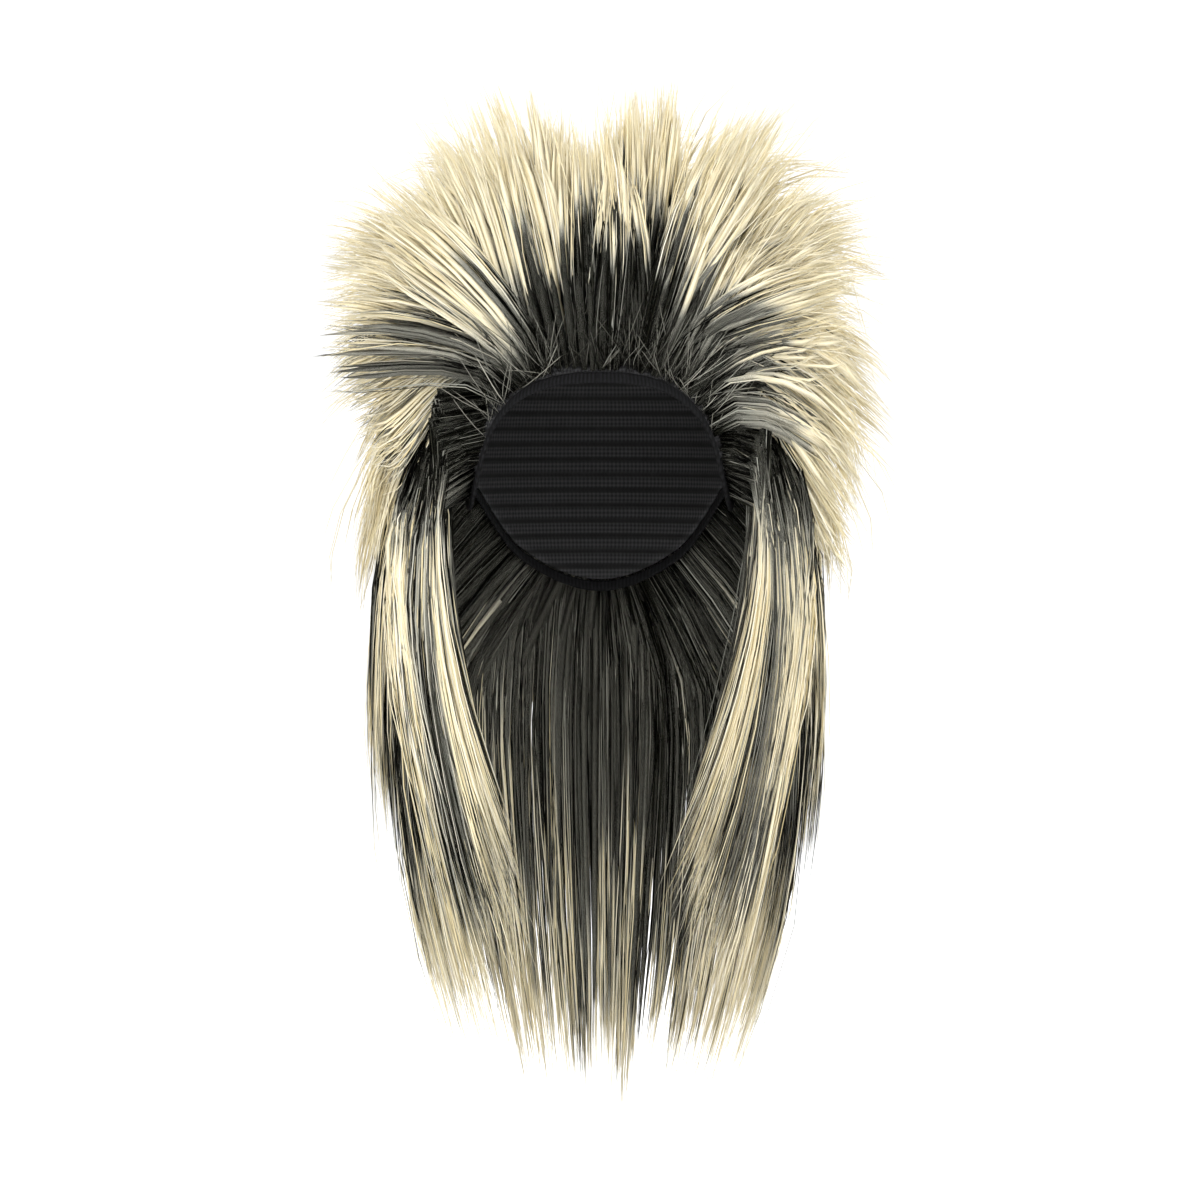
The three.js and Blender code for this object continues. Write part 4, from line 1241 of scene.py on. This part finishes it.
@dataclass(frozen=True)
class CapShell:
    """The net cap with its rows of sewn weft, and the tape round its rim."""

    head: HeadForm
    wall: float = 1.6
    row_pitch: float = 9.0
    row_height: float = 0.5
    tape_height: float = 6.0
    tape_wall: float = 2.4
    tape_gap: float = 0.8

    def net(self) -> bpy.types.Object:
        """The cap: an inner and an outer bowl on one grid of angles and shares, joined at the rim.

        Both walls rise by the positive part of a sine of the depth, squared, where a row of weft is
        sewn on.
        """
        columns, rows = 96, 54
        angle = np.linspace(0.0, 360.0, columns, endpoint=False)[None, :]
        share = np.linspace(0.004, 1.0, rows)[:, None]
        angle, share = np.broadcast_arrays(angle, share)
        depth = self.head.depth_of(angle, share)
        sewn = np.maximum(np.sin(math.tau * depth / self.row_pitch), 0.0) ** 2 * smooth(0.25, 0.4, share)
        inner = self.head.cap_point(angle, share, 0.1 + 0.0 * share)
        outer = self.head.cap_point(angle, share, self.wall + self.row_height * (sewn - 1.0))
        bulged = self.head.cap_point(angle, share, -self.row_height * sewn)
        inner = np.where((sewn > 0)[..., None], bulged, inner)
        points = np.concatenate([inner.reshape(-1, 3), outer.reshape(-1, 3)])
        at = np.arange(rows * columns).reshape(rows, columns)
        after = np.roll(at, -1, axis=1)
        quads = np.stack([at[:-1], at[1:], after[1:], after[:-1]], axis=-1).reshape(-1, 4)
        other = rows * columns
        brim = np.stack([at[-1], after[-1], after[-1] + other, at[-1] + other], axis=-1)
        top = np.stack([at[0], after[0], after[0] + other, at[0] + other], axis=-1)
        faces = np.concatenate([quads[:, ::-1], quads + other, brim, top[:, ::-1]])
        around = np.concatenate([angle.ravel(), angle.ravel()]) / 72.0
        down = np.concatenate([depth.ravel(), depth.ravel()]) / 100.0
        pairs = np.stack([around, down], axis=-1)[faces.ravel()]
        return mesh_object("cap_net", points, [faces], {"cloth": pairs})

    def tape(self) -> bpy.types.Object:
        """The tape: a flat rounded section carried round the rim, just below the cap's edge."""
        columns, sides = 180, 10
        angle = np.linspace(0.0, 360.0, columns, endpoint=False)[:, None]
        turn = np.linspace(0.0, math.tau, sides, endpoint=False)[None, :]
        squared = np.sign(np.cos(turn)) * np.abs(np.cos(turn)) ** 0.5
        below = self.tape_gap + self.tape_height * (0.5 + 0.5 * squared)
        out = self.tape_wall * (0.5 + 0.5 * np.sin(turn))
        angle, below, out = np.broadcast_arrays(angle, below, out)
        depth = self.head.rim_depth(angle) + below
        points = self.head.point_at(angle, depth) + self.head.normal_at(angle, depth) * out[..., None]
        at = np.arange(columns * sides).reshape(columns, sides)
        over = np.roll(at, -1, axis=1)
        faces = np.stack([at, over, np.roll(over, -1, axis=0), np.roll(at, -1, axis=0)], axis=-1).reshape(-1, 4)
        pairs = np.stack([angle / 360.0, below / 100.0], axis=-1).reshape(-1, 2)[faces.ravel()]
        return mesh_object("rim_tape", points.reshape(-1, 3), [faces], {"cloth": pairs})

    def build(self) -> None:
        """Makes the cap and its tape in place of the frame's solids."""
        net = ClothFinish("cap_net_cloth", Weave.NET, (0.012, 0.012, 0.013), (0.05, 0.05, 0.051), cells=20.0)
        tape = ClothFinish("rim_tape_cloth", Weave.TAPE, (0.003, 0.003, 0.003), (0.009, 0.009, 0.01), cells=200.0)
        placed(self.net(), net.make(), "cap")
        placed(self.tape(), tape.make(), "rim_binding")


@dataclass(frozen=True)
class Studio:
    """A plain pale floor that curves up all round, soft light and a camera that sees the front."""

    floor_level: float = -0.56
    floor_radius: float = 4.2
    curve_radius: float = 1.6
    wall_height: float = 1.5
    glow: float = 0.12
    target: tuple[float, float, float] = (0.0, 0.0, -0.172)
    distance: float = 3.4
    elevation: float = 2.0
    view_height: float = 0.69
    sky: float = 0.95

    def floor(self) -> None:
        """The floor: a disc whose edge turns up as a quarter of a circle into a low wall."""
        columns = 96
        turn = np.linspace(0.0, math.pi / 2, 16)
        radius = np.concatenate([[0.02], self.floor_radius + self.curve_radius * np.sin(turn)])
        radius = np.append(radius, radius[-1])
        height = np.concatenate([[0.0], self.curve_radius * (1 - np.cos(turn))])
        height = np.append(height, height[-1] + self.wall_height) + self.floor_level
        round_ = np.linspace(0.0, math.tau, columns, endpoint=False)[:, None]
        x, y, z = np.broadcast_arrays(radius * np.cos(round_), radius * np.sin(round_), height)
        at = np.arange(x.size).reshape(x.shape)
        after = np.roll(at, -1, axis=0)
        faces = np.stack([at[:, :-1], at[:, 1:], after[:, 1:], after[:, :-1]], axis=-1).reshape(-1, 4)
        middle = at[:, 0][None, :]
        sheet = mesh_object("floor", np.stack([x, y, z], axis=-1).reshape(-1, 3) / METRES, [faces, middle], {})
        maker = NodeMaker("pale_floor")
        maker.feed(maker.surface.inputs["Base Color"], (0.93, 0.93, 0.93, 1.0))
        maker.feed(maker.surface.inputs["Roughness"], 0.9)
        maker.feed(maker.surface.inputs["Emission Color"], (1.0, 1.0, 1.0, 1.0))
        maker.feed(maker.surface.inputs["Emission Strength"], self.glow)
        sheet.data.materials.append(maker.material)

    def light(self, name: str, place: tuple[float, float, float], size: float, power: float) -> None:
        """One soft square light aimed at the wig."""
        data = bpy.data.lights.new(name, "AREA")
        data.size = size
        data.energy = power
        lamp = bpy.data.objects.new(name, data)
        lamp.location = place
        lamp.rotation_euler = (Vector(self.target) - Vector(place)).to_track_quat("-Z", "Y").to_euler()
        bpy.context.scene.collection.objects.link(lamp)

    def camera(self) -> None:
        """The camera, level with the wig and far enough away to see it with little perspective."""
        data = bpy.data.cameras.new("camera")
        data.sensor_width = 36.0
        data.lens = data.sensor_width * self.distance / self.view_height
        eye = bpy.data.objects.new("camera", data)
        lift = math.radians(self.elevation)
        away = Vector((0.0, -math.cos(lift), math.sin(lift))) * self.distance
        eye.location = Vector(self.target) + away
        eye.rotation_euler = (-away).to_track_quat("-Z", "Y").to_euler()
        bpy.context.scene.collection.objects.link(eye)
        bpy.context.scene.camera = eye

    def build(self) -> None:
        """Sets the stage, the lights and the camera."""
        world = bpy.data.worlds.new("studio")
        world.use_nodes = True
        backdrop = world.node_tree.nodes["Background"]
        backdrop.inputs["Color"].default_value = (1.0, 1.0, 1.0, 1.0)
        backdrop.inputs["Strength"].default_value = self.sky
        bpy.context.scene.world = world
        bpy.context.scene.view_settings.view_transform = "Standard"
        self.floor()
        self.light("key", (-1.3, -2.2, 1.5), 1.6, 37.0)
        self.light("fill", (1.8, -2.0, 0.6), 1.8, 20.0)
        self.light("top", (0.0, 0.3, 2.2), 1.6, 20.0)
        self.light("behind", (0.5, 2.4, 1.1), 1.8, 34.0)
        self.camera()


def hair_pieces(head: HeadForm) -> list[HairPiece]:
    """Every piece of hair, from the crown down."""
    whorl = (replace(SPIKED[0], patch=(22.0, 0.06)), *SPIKED[1:])
    pieces: list[HairPiece] = [
        CrownSpikes("crown_spikes", 11, head, (-180.0, 180.0), (0.0, 0.47), 35, whorl, cover=240),
        BrowSpikes("brow_spikes", 12, head, (-58.0, 58.0), (0.46, 1.0), 27, cover=110),
        BackLayer("back_layer", 13, head, (128.0, 232.0), (0.46, 0.74), 14, HANGING, 7),
        NapeLayer("nape_layer", 14, head, (128.0, 232.0), (0.74, 1.0), 15, HANGING, 7, length=482.0, ragged=0.28, inset=13.0),
    ]
    for side, word, seed in ((Side.LEFT, "left", 20), (Side.RIGHT, "right", 30)):
        sign = side.value
        wing = (58.0 * sign, 123.0 * sign)
        face = (58.0 * sign, 90.0 * sign)
        behind = (90.0 * sign, 128.0 * sign)
        pieces += [
            Wing(f"wing_{word}", seed, head, wing, (0.46, 0.74), 13, SPIKED, 6, side=side),
            FaceLocks(f"face_locks_{word}", seed + 1, head, face, (0.76, 1.0), 11, HANGING, 7, cover=0, side=side),
            SideLayer(f"side_layer_{word}", seed + 2, head, behind, (0.74, 1.0), 6, HANGING, 7, cover=30, side=side),
        ]
    return pieces


def main() -> None:
    """Builds the stage, the cap and every piece of hair."""
    logging.basicConfig(level=logging.INFO, format="%(name)s %(message)s")
    Studio().build()
    head = HeadForm()
    CapShell(head).build()
    fibre = FibreFinish().make()
    for piece in hair_pieces(head):
        piece.build(fibre)


if __name__ == "__main__":
    main()
